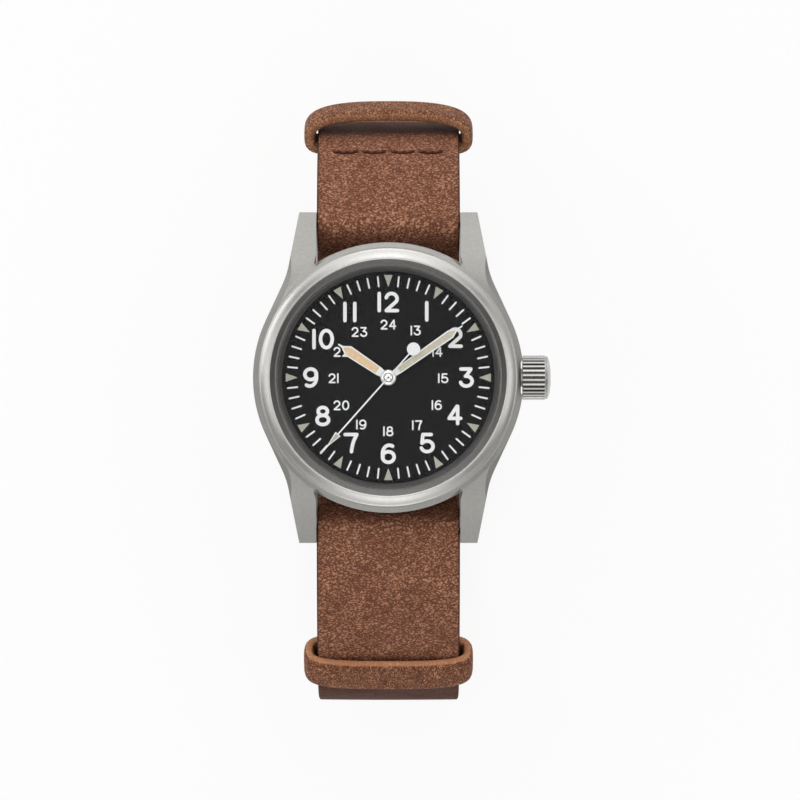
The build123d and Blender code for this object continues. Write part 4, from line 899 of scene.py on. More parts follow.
class Palette:
    """Every finish of the watch as a material."""

    def __init__(self) -> None:
        """Build the shared effects and the materials."""
        self.effects = Effects()
        self.mix_leathers()
        self.mix_metals()
        self.mix_coats()

    def mix_leathers(self) -> None:
        """Make the leathers, the thread and the painted shadow beside it."""
        effects = self.effects
        # The strap carries the painted shade under the keepers.
        self.strap = Leather(painted_shade_share=0.86).build(effects)
        self.keeper = Leather(
            name="keeper_leather",
            light=linear(196, 142, 108),
            deep=linear(166, 114, 84),
            crease=linear(84, 47, 30),
            # Painted highlight: a paler tone along the keeper's cut edges.
            edge=linear(186, 134, 98),
            edge_share=0.25,
            scale=2500.0,
            turn=8.0,
        ).build(effects)
        self.tail_keeper = Leather(
            name="tail_keeper_leather",
            light=linear(196, 138, 104),
            deep=linear(162, 108, 78),
            crease=linear(80, 43, 27),
            # Painted highlight: a still paler tone along the lower keeper's lip, which faces the light.
            edge=linear(222, 158, 116),
            edge_share=0.48,
            scale=2500.0,
            turn=14.0,
        ).build(effects)
        self.lining = Leather(
            name="lining_leather",
            light=linear(150, 108, 84),
            deep=linear(122, 84, 64),
            crease=linear(90, 60, 46),
            scale=2600.0,
            depth_m=0.00004,
            roughness=0.75,
        ).build(effects)
        self.thread = Thread().build(effects)
        # Painted shadow: a dark tone for the tube beside the thread, where the seam's gap is in shade.
        self.seam_shadow = Coat(
            "stitch_shadow_paint", linear(52, 28, 20), linear(38, 20, 15), 0.8, 4000.0, specular=0.1
        ).build(effects)

    def mix_metals(self) -> None:
        """Make the steels, the nickel and the brass."""
        effects = self.effects
        self.steel = Blasted(shoulder_depth=0.22).build(effects)
        self.bezel = Blasted(
            "bezel_steel", (0.54, 0.53, 0.51), (0.51, 0.5, 0.48), roughness=0.22, depth_m=0.000002
        ).build(effects)
        self.fluted = Fluted().build(effects)
        self.satin = Blasted(
            "satin_steel", (0.52, 0.515, 0.5), (0.46, 0.455, 0.44), roughness=0.33, scale=3800.0
        ).build(effects)
        self.small_steel = Blasted(
            "small_steel", (0.52, 0.52, 0.52), (0.44, 0.44, 0.44), roughness=0.22, scale=9000.0
        ).build(effects)
        self.polished = Blasted(
            "polished_steel", (0.95, 0.95, 0.94), (0.9, 0.9, 0.89), roughness=0.2, scale=9000.0
        ).build(effects)
        # The bezel's slope: a darker steel than the bezel's, painted shade for its dark reflections.
        self.slope_shade_steel = Lathed().build(effects)
        self.nickel = Lathed(name="plate_nickel", colour=(0.6, 0.575, 0.53), roughness=0.28).build(effects)
        self.brass = Lathed(
            name="train_brass", colour=(0.7, 0.48, 0.2), roughness=0.26, ring_scale=1500.0
        ).build(effects)

    def mix_coats(self) -> None:
        """Make the coats, the luminous pastes, the mouldings, the jewels and the crystal."""
        effects = self.effects
        self.lacquer = Coat(
            "dial_lacquer", linear(23, 23, 23), linear(19, 19, 19), 0.6, 4200.0, 0.000006, 0.08
        ).build(effects)
        self.shadow = Coat("gap_black", linear(14, 14, 14), linear(9, 9, 9), 0.7, specular=0.2).build(effects)
        self.printing = Coat(
            "dial_print", (0.93, 0.93, 0.92), (0.89, 0.89, 0.88), 0.45, 3000.0
        ).build(effects)
        self.enamel = Coat("hand_enamel", (0.91, 0.91, 0.9), (0.87, 0.87, 0.86), 0.3, 3000.0).build(effects)
        self.plot_lume = Coat(
            "plot_lume", linear(192, 190, 176), linear(178, 176, 162), 0.75, 6000.0, 0.00002
        ).build(effects)
        self.hand_lume = Coat(
            "hand_lume", linear(238, 210, 170), linear(222, 190, 148), 0.7, 6000.0, 0.00002
        ).build(effects)
        self.faded_lume = Coat(
            "faded_lume", linear(212, 206, 184), linear(194, 186, 164), 0.7, 6000.0, 0.00002
        ).build(effects)
        self.rubber = Coat(
            "gasket_rubber", (0.02, 0.02, 0.02), (0.028, 0.028, 0.028), 0.7, 5000.0, 0.00001
        ).build(effects)
        self.nylon = Coat(
            "gasket_nylon", linear(128, 127, 124), linear(116, 115, 112), 0.45, 5000.0
        ).build(effects)
        self.flange = Coat("flange_paint", linear(92, 90, 88), linear(84, 82, 80), 0.4, 5000.0).build(effects)
        self.moulding = Coat("ring_moulding", (0.4, 0.4, 0.38), (0.36, 0.36, 0.34), 0.5).build(effects)
        self.ruby = Coat("jewel_ruby", (0.5, 0.02, 0.06), (0.4, 0.01, 0.04), 0.08).build(effects)
        self.crystal = Crystal().build(effects)


# Leather strap


@dataclass
class Stand:
    """Place on the strap in the YZ plane, with its outward and its along directions."""

    centre: np.ndarray
    out: np.ndarray
    along: np.ndarray

    def points(self, x: np.ndarray, outwards: np.ndarray, onwards: np.ndarray) -> np.ndarray:
        """Points about the place.

        Each is the centre plus the outward direction times one place plus the along direction times the
        other, with the place across the strap as x.

        Args:
            x: Places across.
            outwards: Places outwards.
            onwards: Places along.

        Returns:
            The points, with their coordinates on the last axis.
        """
        y = self.centre[0] + self.out[0] * outwards + self.along[0] * onwards
        z = self.centre[1] + self.out[1] * outwards + self.along[1] * onwards
        return np.stack([x, y, z], axis=-1)


@dataclass(frozen=True)
class Move:
    """One stretch of a band's centre line: a straight run, or a bend where the turn isn't zero."""

    size: float
    degrees: float = 0.0


@dataclass
class StrapRoute:
    """Centre lines of the strap and its underlay in the YZ plane.

    They run as the construction lays them, but by each spring bar the strap slopes to below the case,
    where the solid drops straight down.
    """

    thickness: float = 1.5
    underlay_thickness: float = 1.2
    layer_gap: float = 0.15
    bar_gap: float = 0.1
    keeper_wall: float = 1.2
    keeper_gap: float = 0.2
    reach_six: float = 46.6
    reach_twelve: float = 37.65
    drop_radius: float = 1.2
    tail_wrap: float = 60.0
    join: float = 46.0
    underlay_from: float = 56.0
    underlay_to: float = 61.0
    drop_degrees: float = 50.0
    bar_height: float = 46.4
    bar_y: float = 21.6
    bar_radius: float = 0.65
    fold_reach: float = 4.0
    fold_ease_radius: float = 2.0
    fold_ease: float = 40.0
    buckle_bar_y: float = -8.0
    buckle_bar_radius: float = 0.8
    under_height: float = 43.9
    underlay_height: float = 42.4

    def __post_init__(self) -> None:
        """Work out the heights and the two end arcs."""
        self.tail_z = self.keeper_wall + self.keeper_gap + self.thickness / 2
        self.end_z = self.tail_z + self.thickness + self.layer_gap
        self.fold_z = self.end_z + self.thickness + self.layer_gap
        self.buckle_wrap = self.buckle_bar_radius + self.bar_gap + self.thickness / 2
        self.bar_wrap = self.bar_radius + self.bar_gap + self.thickness / 2
        self.radius_twelve, self.slope_twelve = self.end_arc(self.end_z, self.reach_twelve)
        self.radius_six, self.slope_six = self.end_arc(self.tail_z, self.reach_six)
        half = self.thickness / 2
        self.centre_twelve = (self.reach_twelve - half - self.radius_twelve, self.end_z + self.radius_twelve)
        self.centre_six = (self.radius_six + half - self.reach_six, self.tail_z + self.radius_six)

    def end_arc(self, bottom: float, reach: float) -> tuple[float, float]:
        """Radius and leaving slope of the arc from a spring bar to the loop's bottom.

        The arc touches the bottom run and the wrap round the bar, so the distance between its centre
        and the bar is its radius less the wrap's.

        Args:
            bottom: Height of the bottom run.
            reach: How far the strap's outside reaches from the dial's axis.

        Returns:
            Radius, and slope in degrees.
        """
        rise = self.bar_height - bottom
        ahead = reach - self.thickness / 2 - self.bar_y
        span = rise + ahead - self.bar_wrap
        radius = span - math.sqrt(span**2 - (rise**2 + ahead**2 - self.bar_wrap**2))
        slope = math.degrees(math.asin((radius - ahead) / (radius - self.bar_wrap)))
        return radius, slope

    def strap_moves(self) -> list[Move]:
        """Lead the strap from its folded end round to its tail.

        Returns:
            The moves in order.
        """
        ease = math.radians(self.fold_ease)
        rise = 2 * self.buckle_wrap - (self.fold_z - self.end_z)
        slant = (rise - 2 * self.fold_ease_radius * (1 - math.cos(ease))) / math.sin(ease)
        span = 2 * self.fold_ease_radius * math.sin(ease) + slant * math.cos(ease)
        drop = math.radians(self.drop_degrees)
        fall = self.bar_height + self.bar_wrap * math.cos(drop) - self.under_height
        fall -= self.drop_radius * (1 - math.cos(drop))
        slope = fall / math.sin(drop)
        under = self.bar_y - (self.bar_wrap + self.drop_radius) * math.sin(drop) - slope * math.cos(drop)
        return [
            Move(self.fold_reach - self.buckle_bar_y - span),
            Move(self.fold_ease_radius, -self.fold_ease),
            Move(slant),
            Move(self.fold_ease_radius, self.fold_ease),
            Move(self.buckle_wrap, 180),
            Move(self.centre_twelve[0] - self.buckle_bar_y),
            Move(self.radius_twelve, 180 - self.slope_twelve),
            Move(self.bar_wrap, self.drop_degrees + self.slope_twelve),
            Move(slope),
            Move(self.drop_radius, -self.drop_degrees),
            Move(2 * under),
            Move(self.drop_radius, -self.drop_degrees),
            Move(slope),
            Move(self.bar_wrap, self.drop_degrees + self.slope_six),
            Move(self.radius_six, 180 - self.slope_six),
            Move(self.centre_twelve[0] - self.centre_six[0]),
            Move(self.radius_twelve + self.thickness + self.layer_gap, self.tail_wrap),
        ]

    def inner_radius(self, radius: float) -> float:
        """Radius of the underlay's centre line inside an end arc."""
        return radius - self.thickness / 2 - self.layer_gap - self.underlay_thickness / 2

    def underlay_ease(self, centre: Span, radius: float) -> float:
        """Radius of the bend from the flat run under the case onto the inner arc."""
        turn = math.radians(self.join)
        return (self.underlay_height - centre[1] - radius * math.cos(turn)) / (1 - math.cos(turn))

    def underlay_moves(self) -> list[Move]:
        """Lead the underlay from its upper end to its lower end.

        Returns:
            The moves in order.
        """
        inner_twelve = self.inner_radius(self.radius_twelve)
        inner_six = self.inner_radius(self.radius_six)
        ease_twelve = self.underlay_ease(self.centre_twelve, inner_twelve)
        ease_six = self.underlay_ease(self.centre_six, inner_six)
        turn = math.sin(math.radians(self.join))
        first = self.centre_twelve[0] + (inner_twelve - ease_twelve) * turn
        last = self.centre_six[0] - (inner_six - ease_six) * turn
        return [
            Move(inner_twelve, self.underlay_from - self.join),
            Move(ease_twelve, self.join),
            Move(first - last),
            Move(ease_six, self.join),
            Move(inner_six, self.underlay_to - self.join),
        ]

    def stand(self, centre: Span, radius: float, degrees: float) -> Stand:
        """Find a place on an end arc.

        Args:
            centre: Centre of the arc.
            radius: Radius of the place.
            degrees: Turn from straight up towards 12 o'clock.

        Returns:
            The place.
        """
        turn = math.radians(degrees)
        out = np.array([math.sin(turn), math.cos(turn)])
        return Stand(np.array(centre) + radius * out, out, np.array([-out[1], out[0]]))


@dataclass
class Line:
    """Sampled centre line: places, left-hand directions and distances."""

    places: np.ndarray
    left: np.ndarray
    distance: np.ndarray


def trace(
    start: Span, heading: float, moves: list[Move], pitch: float = 0.8, bend_pitch: float = 7.0
) -> Line:
    """Sample a chain of runs and tangent bends.

    Along a run the place is the start plus the distance times the heading. Along a bend the place and
    the heading turn together about a centre one radius to the side.

    Args:
        start: First point, as y and z.
        heading: First direction in degrees from +Y towards +Z.
        moves: The stretches in order.
        pitch: Greatest distance between samples.
        bend_pitch: Greatest turn between samples in degrees.

    Returns:
        The sampled line.
    """
    here = np.array(start, dtype=float)
    turn = math.radians(heading)
    places, lefts = [here[None]], [np.array([[-math.sin(turn), math.cos(turn)]])]
    for move in moves:
        bend = math.radians(move.degrees)
        length = move.size * abs(bend) if move.degrees else move.size
        steps = max(2, math.ceil(length / pitch), math.ceil(abs(move.degrees) / bend_pitch))
        share = np.arange(1, steps + 1)[:, None] / steps
        if move.degrees:
            side = math.copysign(1, move.degrees)
            left = np.array([-math.sin(turn), math.cos(turn)])
            centre = here + left * move.size * side
            angles = turn + bend * share[:, 0]
            normals = np.stack([-np.sin(angles), np.cos(angles)], axis=-1)
            points = centre - normals * move.size * side
        else:
            ahead = np.array([math.cos(turn), math.sin(turn)])
            points = here + ahead * length * share
            normals = np.repeat([[-math.sin(turn), math.cos(turn)]], steps, axis=0)
        places.append(points)
        lefts.append(normals)
        here = points[-1]
        turn += bend
    path = np.concatenate(places)
    return Line(path, np.concatenate(lefts), distances(path, closed=False))


@dataclass
class BandSection:
    """Cross-section of a leather band: gently crowned faces between burnished round edges."""

    half_width: float
    half_thickness: float
    crown: float = 0.06
    ease_share: float = 0.45
    edge_steps: int = 7
    face_steps: int = 22
    face_rim: float = 0.35
    face_rim_width: float = 0.3
    edge_rim_gain: float = 1.5
    edge_rim_start: float = 0.2

    def outline(self) -> tuple[np.ndarray, np.ndarray]:
        """Work out the closed outline.

        The faces bulge by the crown times one less the square of the place across, and each edge is half
        an ellipse.

        Returns:
            Places across and through the band, and the edge mask of each.
        """
        ease = self.half_thickness * self.ease_share
        flat = self.half_width - ease
        x = np.linspace(flat, -flat, self.face_steps)
        rise = self.half_thickness - self.crown * (x / flat) ** 2
        turn = np.linspace(np.pi / 2, 3 * np.pi / 2, self.edge_steps + 2)[1:-1]
        edge_x = -flat + ease * np.cos(turn)
        edge_o = (self.half_thickness - self.crown) * np.sin(turn)
        across = np.concatenate([x, edge_x, -x, -edge_x])
        through = np.concatenate([rise, edge_o, -rise, -edge_o])
        face_mask = np.clip(1 - (flat - np.abs(x)) / self.face_rim_width, 0, 1) * self.face_rim
        edge_mask = np.clip(self.edge_rim_gain * np.abs(np.cos(turn)) - self.edge_rim_start, 0, 1)
        rim = np.concatenate([face_mask, edge_mask, face_mask, edge_mask])
        return np.stack([across, through], axis=-1), rim


def band_patch(line: Line, section: BandSection, width: np.ndarray, depth: np.ndarray) -> Patch:
    """Carry a band's section along its line.

    The point of a row and a column is the row's place plus the row's left direction times the column's
    place through the band, with the column's place across as x.

    Args:
        line: Centre line.
        section: Section of the band.
        width: Scale of each row across.
        depth: Scale of each row through.

    Returns:
        The patch.
    """
    ring, rim = section.outline()
    x = ring[None, :, 0] * width[:, None]
    lift = ring[None, :, 1] * depth[:, None]
    y = line.places[:, None, 0] + line.left[:, None, 0] * lift
    z = line.places[:, None, 1] + line.left[:, None, 1] * lift
    return Patch(np.stack([x, y, z], axis=-1), line.distance, distances(ring, closed=True), rim=rim)


def pierce(piece: bpy.types.Object, cutters: list[Patch]) -> None:
    """Cut closed shapes out of a piece and keep its own faces' skin.

    Args:
        piece: Piece that loses the cutters' volume.
        cutters: Closed patches.
    """
    tool = make_piece(piece.name + "_cutter", cutters, Body.CASE, piece.data.materials[0])
    cut = piece.modifiers.new("holes", "BOOLEAN")
    cut.operation = "DIFFERENCE"
    cut.solver = "EXACT"
    cut.object = tool
    graph = bpy.context.evaluated_depsgraph_get()
    done = bpy.data.meshes.new_from_object(piece.evaluated_get(graph), depsgraph=graph)
    piece.modifiers.clear()
    old = piece.data
    piece.data = done
    bpy.data.meshes.remove(old)
    bpy.data.objects.remove(tool)


def prism(outline: np.ndarray, low: float, high: float) -> Patch:
    """Upright prism.

    Args:
        outline: Closed outline in the XY plane.
        low: Height of its foot.
        high: Height of its top.

    Returns:
        The patch.
    """
    levels = np.array([low, high])
    points = np.concatenate([np.column_stack([outline, np.full(len(outline), level)]) for level in levels])
    return Patch(points.reshape(2, -1, 3), levels - low, np.arange(len(outline) + 1.0))


def stadium(centre_y: float, half_length: float, radius: float, steps: int = 14) -> np.ndarray:
    """Slot along Y: two half circles joined by straight sides.

    Args:
        centre_y: Middle of the slot.
        half_length: Half its length.
        radius: Half its width.
        steps: Points on each half circle.

    Returns:
        Its outline.
    """
    turn = np.linspace(0, np.pi, steps)
    upper = np.column_stack([radius * np.cos(turn), radius * np.sin(turn) + half_length - radius])
    return np.concatenate([upper, -upper]) + [0, centre_y]


@dataclass
class Strap:
    """Main strap and underlay."""

    palette: Palette
    route: StrapRoute
    half_width: float = 10.1
    tip_radius: float = 7.0
    tip_share: float = 0.995
    hole_radius: float = 1.0
    hole_pitch: float = 6.5
    hole_count: int = 4
    hole_facets: int = 28
    tongue_hole_from: float = -0.6
    tongue_hole_to: float = 7.2
    tongue_slot_half: float = 1.25
    tongue_slot_ease: float = 0.15
    end_depth: float = 0.65
    end_length: float = 1.0
    skive_depth: float = 0.55
    skive_length: float = 5.0
    underlay_width: float = 0.995

    def build(self) -> None:
        """Make both layers in place of their solids."""
        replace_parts(self.main_strap(), "strap_main")
        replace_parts(self.underlay(), "strap_underlay")

    def main_strap(self) -> bpy.types.Object:
        """Make the strap with its round tail, holes and tongue slots.

        Near the tail's end the half width is the flat part plus the height of a circle whose radius is
        the tip's. Over the last stretch to either end the thickness falls to the end's share.

        Returns:
            The strap.
        """
        route = self.route
        line = trace((route.fold_reach, route.fold_z), 180, route.strap_moves())
        left_over = line.distance[-1] - line.distance
        near = np.clip(self.tip_radius - left_over, 0, self.tip_radius * self.tip_share)
        half = self.half_width - self.tip_radius + np.sqrt(self.tip_radius**2 - near**2)
        section = BandSection(self.half_width, route.thickness / 2)
        ends = np.minimum(line.distance, left_over)
        depth = 1 - (1 - self.end_depth) * np.clip(1 - ends / self.end_length, 0, 1) ** 2
        band = band_patch(line, section, half / self.half_width, depth)
        piece = make_piece("leather_strap", [band], Body.CASE, self.palette.strap)
        pierce(piece, self.cutters())
        return piece

    def cutters(self) -> list[Patch]:
        """Shape the holes in the tail and the slots that the tongue passes.

        Returns:
            One closed shape for each.
        """
        route = self.route
        low = route.tail_z - route.thickness
        high = route.tail_z + route.thickness / 2 + route.layer_gap / 2
        first = route.buckle_bar_y - self.tongue_hole_to - self.hole_pitch
        turn = np.linspace(0, 2 * np.pi, self.hole_facets, endpoint=False)
        round_hole = self.hole_radius * np.stack([np.cos(turn), np.sin(turn)], axis=-1)
        shapes = [
            prism(round_hole + [0, first - index * self.hole_pitch], low, high)
            for index in range(self.hole_count)
        ]
        middle = route.buckle_bar_y - (self.tongue_hole_from + self.tongue_hole_to) / 2
        half = (self.tongue_hole_to - self.tongue_hole_from) / 2
        shapes.append(prism(stadium(middle, half, self.tongue_slot_half), low, high))
        slot_end = route.buckle_bar_y + route.buckle_wrap + self.tongue_slot_ease
        slot_start = route.buckle_bar_y - route.buckle_wrap - route.thickness
        middle = (slot_start + slot_end) / 2
        half = (slot_end - slot_start) / 2
        fold_low = route.end_z - route.thickness / 2 - route.layer_gap / 2
        fold_high = route.fold_z + 2 * route.thickness
        square = np.array([[1, -1], [1, 1], [-1, 1], [-1, -1]]) * [self.tongue_slot_half, half] + [0, middle]
        shapes.append(prism(square, fold_low, fold_high))
        return shapes

    def underlay(self) -> bpy.types.Object:
        """Make the second layer under the case, thinned towards its sewn ends.

        Returns:
            The underlay.
        """
        route = self.route
        inner = route.inner_radius(route.radius_twelve)
        start = route.stand(route.centre_twelve, inner, route.underlay_from).centre
        line = trace(tuple(start), 180 - route.underlay_from, route.underlay_moves())
        ends = np.minimum(line.distance, line.distance[-1] - line.distance)
        depth = self.skive_depth + (1 - self.skive_depth) * np.clip(ends / self.skive_length, 0, 1)
        section = BandSection(self.half_width, route.underlay_thickness / 2)
        patch = band_patch(line, section, np.full(len(depth), self.underlay_width), depth)
        return make_piece("leather_underlay", [patch], Body.CASE, self.palette.lining)


def superellipse(wave: np.ndarray, power: float | np.ndarray) -> np.ndarray:
    """Sign of a sine or cosine times its size raised to two over a power."""
    return np.sign(wave) * np.abs(wave) ** (2 / power)


@dataclass
class Keeper:
    """Closed leather loop round the strap, bowed outwards."""

    node: str
    body: Body
    leather: bpy.types.Material
    stand: Stand
    inside: float
    outside: float
    outer_power: float
    inner_power: float
    shoulder: float = 0.0
    half_width: float = 12.05
    wall: float = 1.2
    half_length: float = 2.5
    wall_power: float = 2.6
    length_power: float = 4.5
    rim_from: float = 0.88
    rim_gain: float = 9.0
    steps: int = 150
    section_steps: int = 40

    def loop(self) -> tuple[np.ndarray, np.ndarray]:
        """Work out the centre line round the strap.

        It is a superellipse: the place across is the half width times the cosine raised to two over a
        power, and the place outwards likewise with the sine and the height of its half.

        Returns:
            Places across and outwards, and their outward normals.
        """
        turn = np.linspace(0, 2 * np.pi, self.steps, endpoint=False)
        sin = np.sin(turn)
        power = np.where(sin >= 0, self.outer_power, self.inner_power)
        middle = (self.inside + self.outside) / 2 + self.shoulder
        top = self.outside + self.wall / 2 - middle
        bottom = middle - self.inside + self.wall / 2
        x = (self.half_width - self.wall / 2) * superellipse(np.cos(turn), power)
        outwards = middle + np.where(sin >= 0, top, bottom) * superellipse(sin, power)
        path = self.even(np.stack([x, outwards], axis=-1))
        ahead = np.roll(path, -1, axis=0) - np.roll(path, 1, axis=0)
        ahead /= np.linalg.norm(ahead, axis=1, keepdims=True)
        return path, np.stack([ahead[:, 1], -ahead[:, 0]], axis=-1)

    def even(self, path: np.ndarray) -> np.ndarray:
        """Spread the points of a closed path evenly.

        Args:
            path: Points in order.

        Returns:
            As many points at equal distances along it.
        """
        ring = np.concatenate([path, path[:1]])
        step = distances(path, closed=True)
        want = np.linspace(0, step[-1], self.steps, endpoint=False)
        return np.stack([np.interp(want, step, ring[:, axis]) for axis in (0, 1)], axis=-1)

    def build(self) -> None:
        """Make the loop in place of its solid.

        The band's section is a superellipse across its wall and its length, so its edges are round.
        """
        path, normal = self.loop()
        turn = np.linspace(0, 2 * np.pi, self.section_steps, endpoint=False)
        through = self.wall / 2 * superellipse(np.cos(turn), self.wall_power)
        length = self.half_length * superellipse(np.sin(turn), self.length_power)
        # Mask of the cut edges, where the keeper leathers paint a highlight.
        rim = np.clip((np.abs(length) / self.half_length - self.rim_from) * self.rim_gain, 0, 1)
        x = path[:, None, 0] + normal[:, None, 0] * through[None]
        outwards = path[:, None, 1] + normal[:, None, 1] * through[None]
        points = self.stand.points(x, outwards, length[None])
        across = distances(np.stack([through, length], axis=-1), closed=True)
        patch = Patch(points, distances(path, closed=True), across, rows_close=True, rim=rim)
        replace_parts(make_piece("leather_" + self.node, [patch], self.body, self.leather), self.node)


@dataclass
class Seam:
    """Row of stitches across the strap, with a dark tube beside the thread as painted shadow of the seam's
    gap.
    """

    node: str
    stand: Stand
    width: float = 16.1
    count: int = 4
    thread_radius: float = 0.24
    # Painted shadow: the dark tube beside the thread.
    seam_shadow_radius: float = 0.18
    seam_shadow_rise: float = 0.08
    seam_shadow_shift: float = 0.288
    rise: float = 0.16
    sag: float = 0.46
    spread: float = 1.15
    dip: float = 0.2
    dip_power: int = 10
    steps: int = 25
    facets: int = 12

    def strand(self, radius: float, rise: float, shift: float) -> list[Patch]:
        """One tube a stitch, which dips into the leather at both ends.

        Over a stitch the tube's lift and its radius fall with a high power of the place along it, and it
        sags sideways by one less that place's square.

        Args:
            radius: Radius of the tube.
            rise: How far its top stands above the leather.
            shift: Sideways shift of the whole row.

        Returns:
            The tubes.
        """
        pitch = self.width / self.count
        share = np.linspace(-1, 1, self.steps)
        turn = np.linspace(0, 2 * np.pi, self.facets, endpoint=False)
        fade = share**self.dip_power
        swell = (radius * np.sqrt(np.clip(1 - fade, 0.02, 1)))[:, None]
        outwards = (rise - radius - self.dip * fade)[:, None] + swell * np.sin(turn)[None]
        onwards = swell * np.cos(turn)[None] * self.spread + self.sag * (1 - share[:, None] ** 2) + shift
        across = np.linspace(0, 2 * np.pi * radius, self.facets + 1)
        along = share * pitch / 2
        patches = []
        for index in range(self.count):
            middle = (index + (1 - self.count) / 2) * pitch
            x = np.broadcast_to((middle + along)[:, None], outwards.shape)
            patches.append(Patch(self.stand.points(x, outwards, onwards), along, across))
        return patches

    def build(self, thread: bpy.types.Material, seam_shadow: bpy.types.Material) -> None:
        """Make the thread and the dark tube of painted shadow beside it in place of the solids.

        Args:
            thread: Finish of the thread.
            seam_shadow: Finish of the painted shadow beside the thread.
        """
        strand = self.strand(self.thread_radius, self.rise, 0.0)
        piece = make_piece("thread_" + self.node, strand, Body.CASE, thread)
        # Painted shadow: a dark tube beside the thread.
        shadow_tubes = self.strand(self.seam_shadow_radius, self.seam_shadow_rise, self.seam_shadow_shift)
        shadow = make_piece("seam_shadow_" + self.node, shadow_tubes, Body.CASE, seam_shadow)
        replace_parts(piece, self.node)
        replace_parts(shadow, self.node)


@dataclass
class Leatherwork:
    """Strap, underlay, keepers and seams on one route."""

    palette: Palette
    route: StrapRoute
    upper_degrees: float = 65.5
    upper_rise: float = 1.8
    lower_degrees: float = -51.7
    fixed_y: float = 0.0
    free_y: float = 8.0
    seam_degrees: float = 50.8
    fold_seam_y: float = -3.6

    def build(self) -> None:
        """Make every piece of leather and its thread."""
        Strap(self.palette, self.route).build()
        for keeper in (*self.end_keepers(), *self.wrist_keepers()):
            keeper.build()
        for seam in self.seams():
            seam.build(self.palette.thread, self.palette.seam_shadow)

    def end_keepers(self) -> tuple[Keeper, Keeper]:
        """Set out the keepers on the two end bends.

        Returns:
            The upper and the lower one.
        """
        route = self.route
        clear = route.thickness / 2 + route.keeper_gap
        under = -clear - route.layer_gap - route.underlay_thickness
        upper = route.stand(route.centre_twelve, route.radius_twelve, self.upper_degrees)
        lower = route.stand(route.centre_six, route.radius_six, self.lower_degrees)
        return (
            Keeper(
                "keeper_upper", Body.CASE, self.palette.keeper, upper, inside=-clear,
                outside=clear + self.upper_rise, outer_power=2.7, inner_power=5.0, shoulder=-0.6, wall=1.7,
            ),
            Keeper(
                "keeper_lower", Body.CASE, self.palette.tail_keeper, lower, inside=under,
                outside=clear, outer_power=3.2, inner_power=4.0, wall=1.6, half_length=2.97,
            ),
        )

    def wrist_keepers(self) -> tuple[Keeper, Keeper]:
        """Set out the keepers under the wrist, which face down and lie along Y.

        Returns:
            The fixed and the free one.
        """
        route = self.route
        clear = route.thickness / 2 + route.keeper_gap
        down, ahead = np.array([0.0, -1.0]), np.array([1.0, 0.0])
        fixed = Stand(np.array([self.fixed_y, 0.0]), down, ahead)
        free = Stand(np.array([self.free_y, 0.0]), down, ahead)
        return (
            Keeper(
                "keeper_fixed", Body.CASE, self.palette.keeper, fixed, inside=-(route.fold_z + clear),
                outside=-route.keeper_wall, outer_power=9.0, inner_power=6.0,
            ),
            Keeper(
                "keeper_free", Body.FREE_KEEPER, self.palette.keeper, free, inside=-(route.end_z + clear),
                outside=-route.keeper_wall, outer_power=9.0, inner_power=6.0,
            ),
        )

    def seams(self) -> tuple[Seam, Seam]:
        """Set out the seams.

        Returns:
            The one by the upper keeper and the one of the fold.
        """
        route = self.route
        half = route.thickness / 2
        top = route.stand(route.centre_twelve, route.radius_twelve + half, self.seam_degrees)
        place = np.array([self.fold_seam_y, route.fold_z + half])
        fold = Stand(place, out=np.array([0.0, 1.0]), along=np.array([1.0, 0.0]))
        return Seam("seam_upper", top), Seam("seam_fold", fold)


# Dial, hands and bezel


def arc(
    x: float, y: float, half_width: float, half_height: float, start: float, end: float, steps: int = 22
) -> np.ndarray:
    """Part of an ellipse.

    Args:
        x: Middle across.
        y: Middle up.
        half_width: Half its width.
        half_height: Half its height.
        start: First angle in degrees.
        end: Last angle in degrees.
        steps: Number of points.

    Returns:
        Its points.
    """
    turn = np.radians(np.linspace(start, end, steps))
    return np.stack([x + half_width * np.cos(turn), y + half_height * np.sin(turn)], axis=-1)


class Numerals:
    """Plain rounded figures, one unit tall along their strokes' centre lines."""

    width: float = 0.68

    def __init__(self) -> None:
        """Draw the ten figures as strokes."""
        w = self.width
        half = w / 2
        six = [arc(half, 0.31, half, 0.31, 0, 360, 40), arc(0.4, 0.5, 0.4, 0.5, 203, 62)]
        self.figures: dict[str, list[np.ndarray]] = {
            "0": [arc(half, 0.5, half, 0.5, 0, 360, 48)],
            "1": [np.array([[0, 0], [0, 1.0]])],
            "2": [
                np.concatenate([arc(half, 0.69, 0.32, 0.31, 168, -28), [[0.04, 0.02]]]),
                np.array([[0.03, 0], [w, 0]]),
            ],
            "3": [
                np.array([[0.03, 1], [0.6, 1.0]]),
                np.array([[0.6, 0.98], [0.33, 0.6]]),
                arc(0.34, 0.29, 0.34, 0.29, 98, -165, 30),
            ],
            "4": [
                np.array([[0.46, 1], [0, 0.3]]),
                np.array([[0, 0.3], [w, 0.3]]),
                np.array([[0.5, 1], [0.5, 0.0]]),
            ],
            "5": [
                np.array([[0.1, 1], [0.58, 1.0]]),
                np.array([[0.1, 1], [0.04, 0.5]]),
                arc(0.34, 0.31, 0.35, 0.31, 142, -160, 30),
            ],
            "6": six,
            "7": [np.array([[0, 1], [w, 1.0]]), np.array([[w, 1], [0.5, 0.62], [0.41, 0.3], [0.37, 0.0]])],
            "8": [arc(half, 0.77, 0.27, 0.23, 0, 360, 36), arc(half, 0.27, half, 0.27, 0, 360, 40)],
            "9": [np.array([w, 1.0]) - stroke for stroke in six],
        }

    def reach(self, figure: str) -> float:
        """Width of one figure."""
        return 0.0 if figure == "1" else self.width


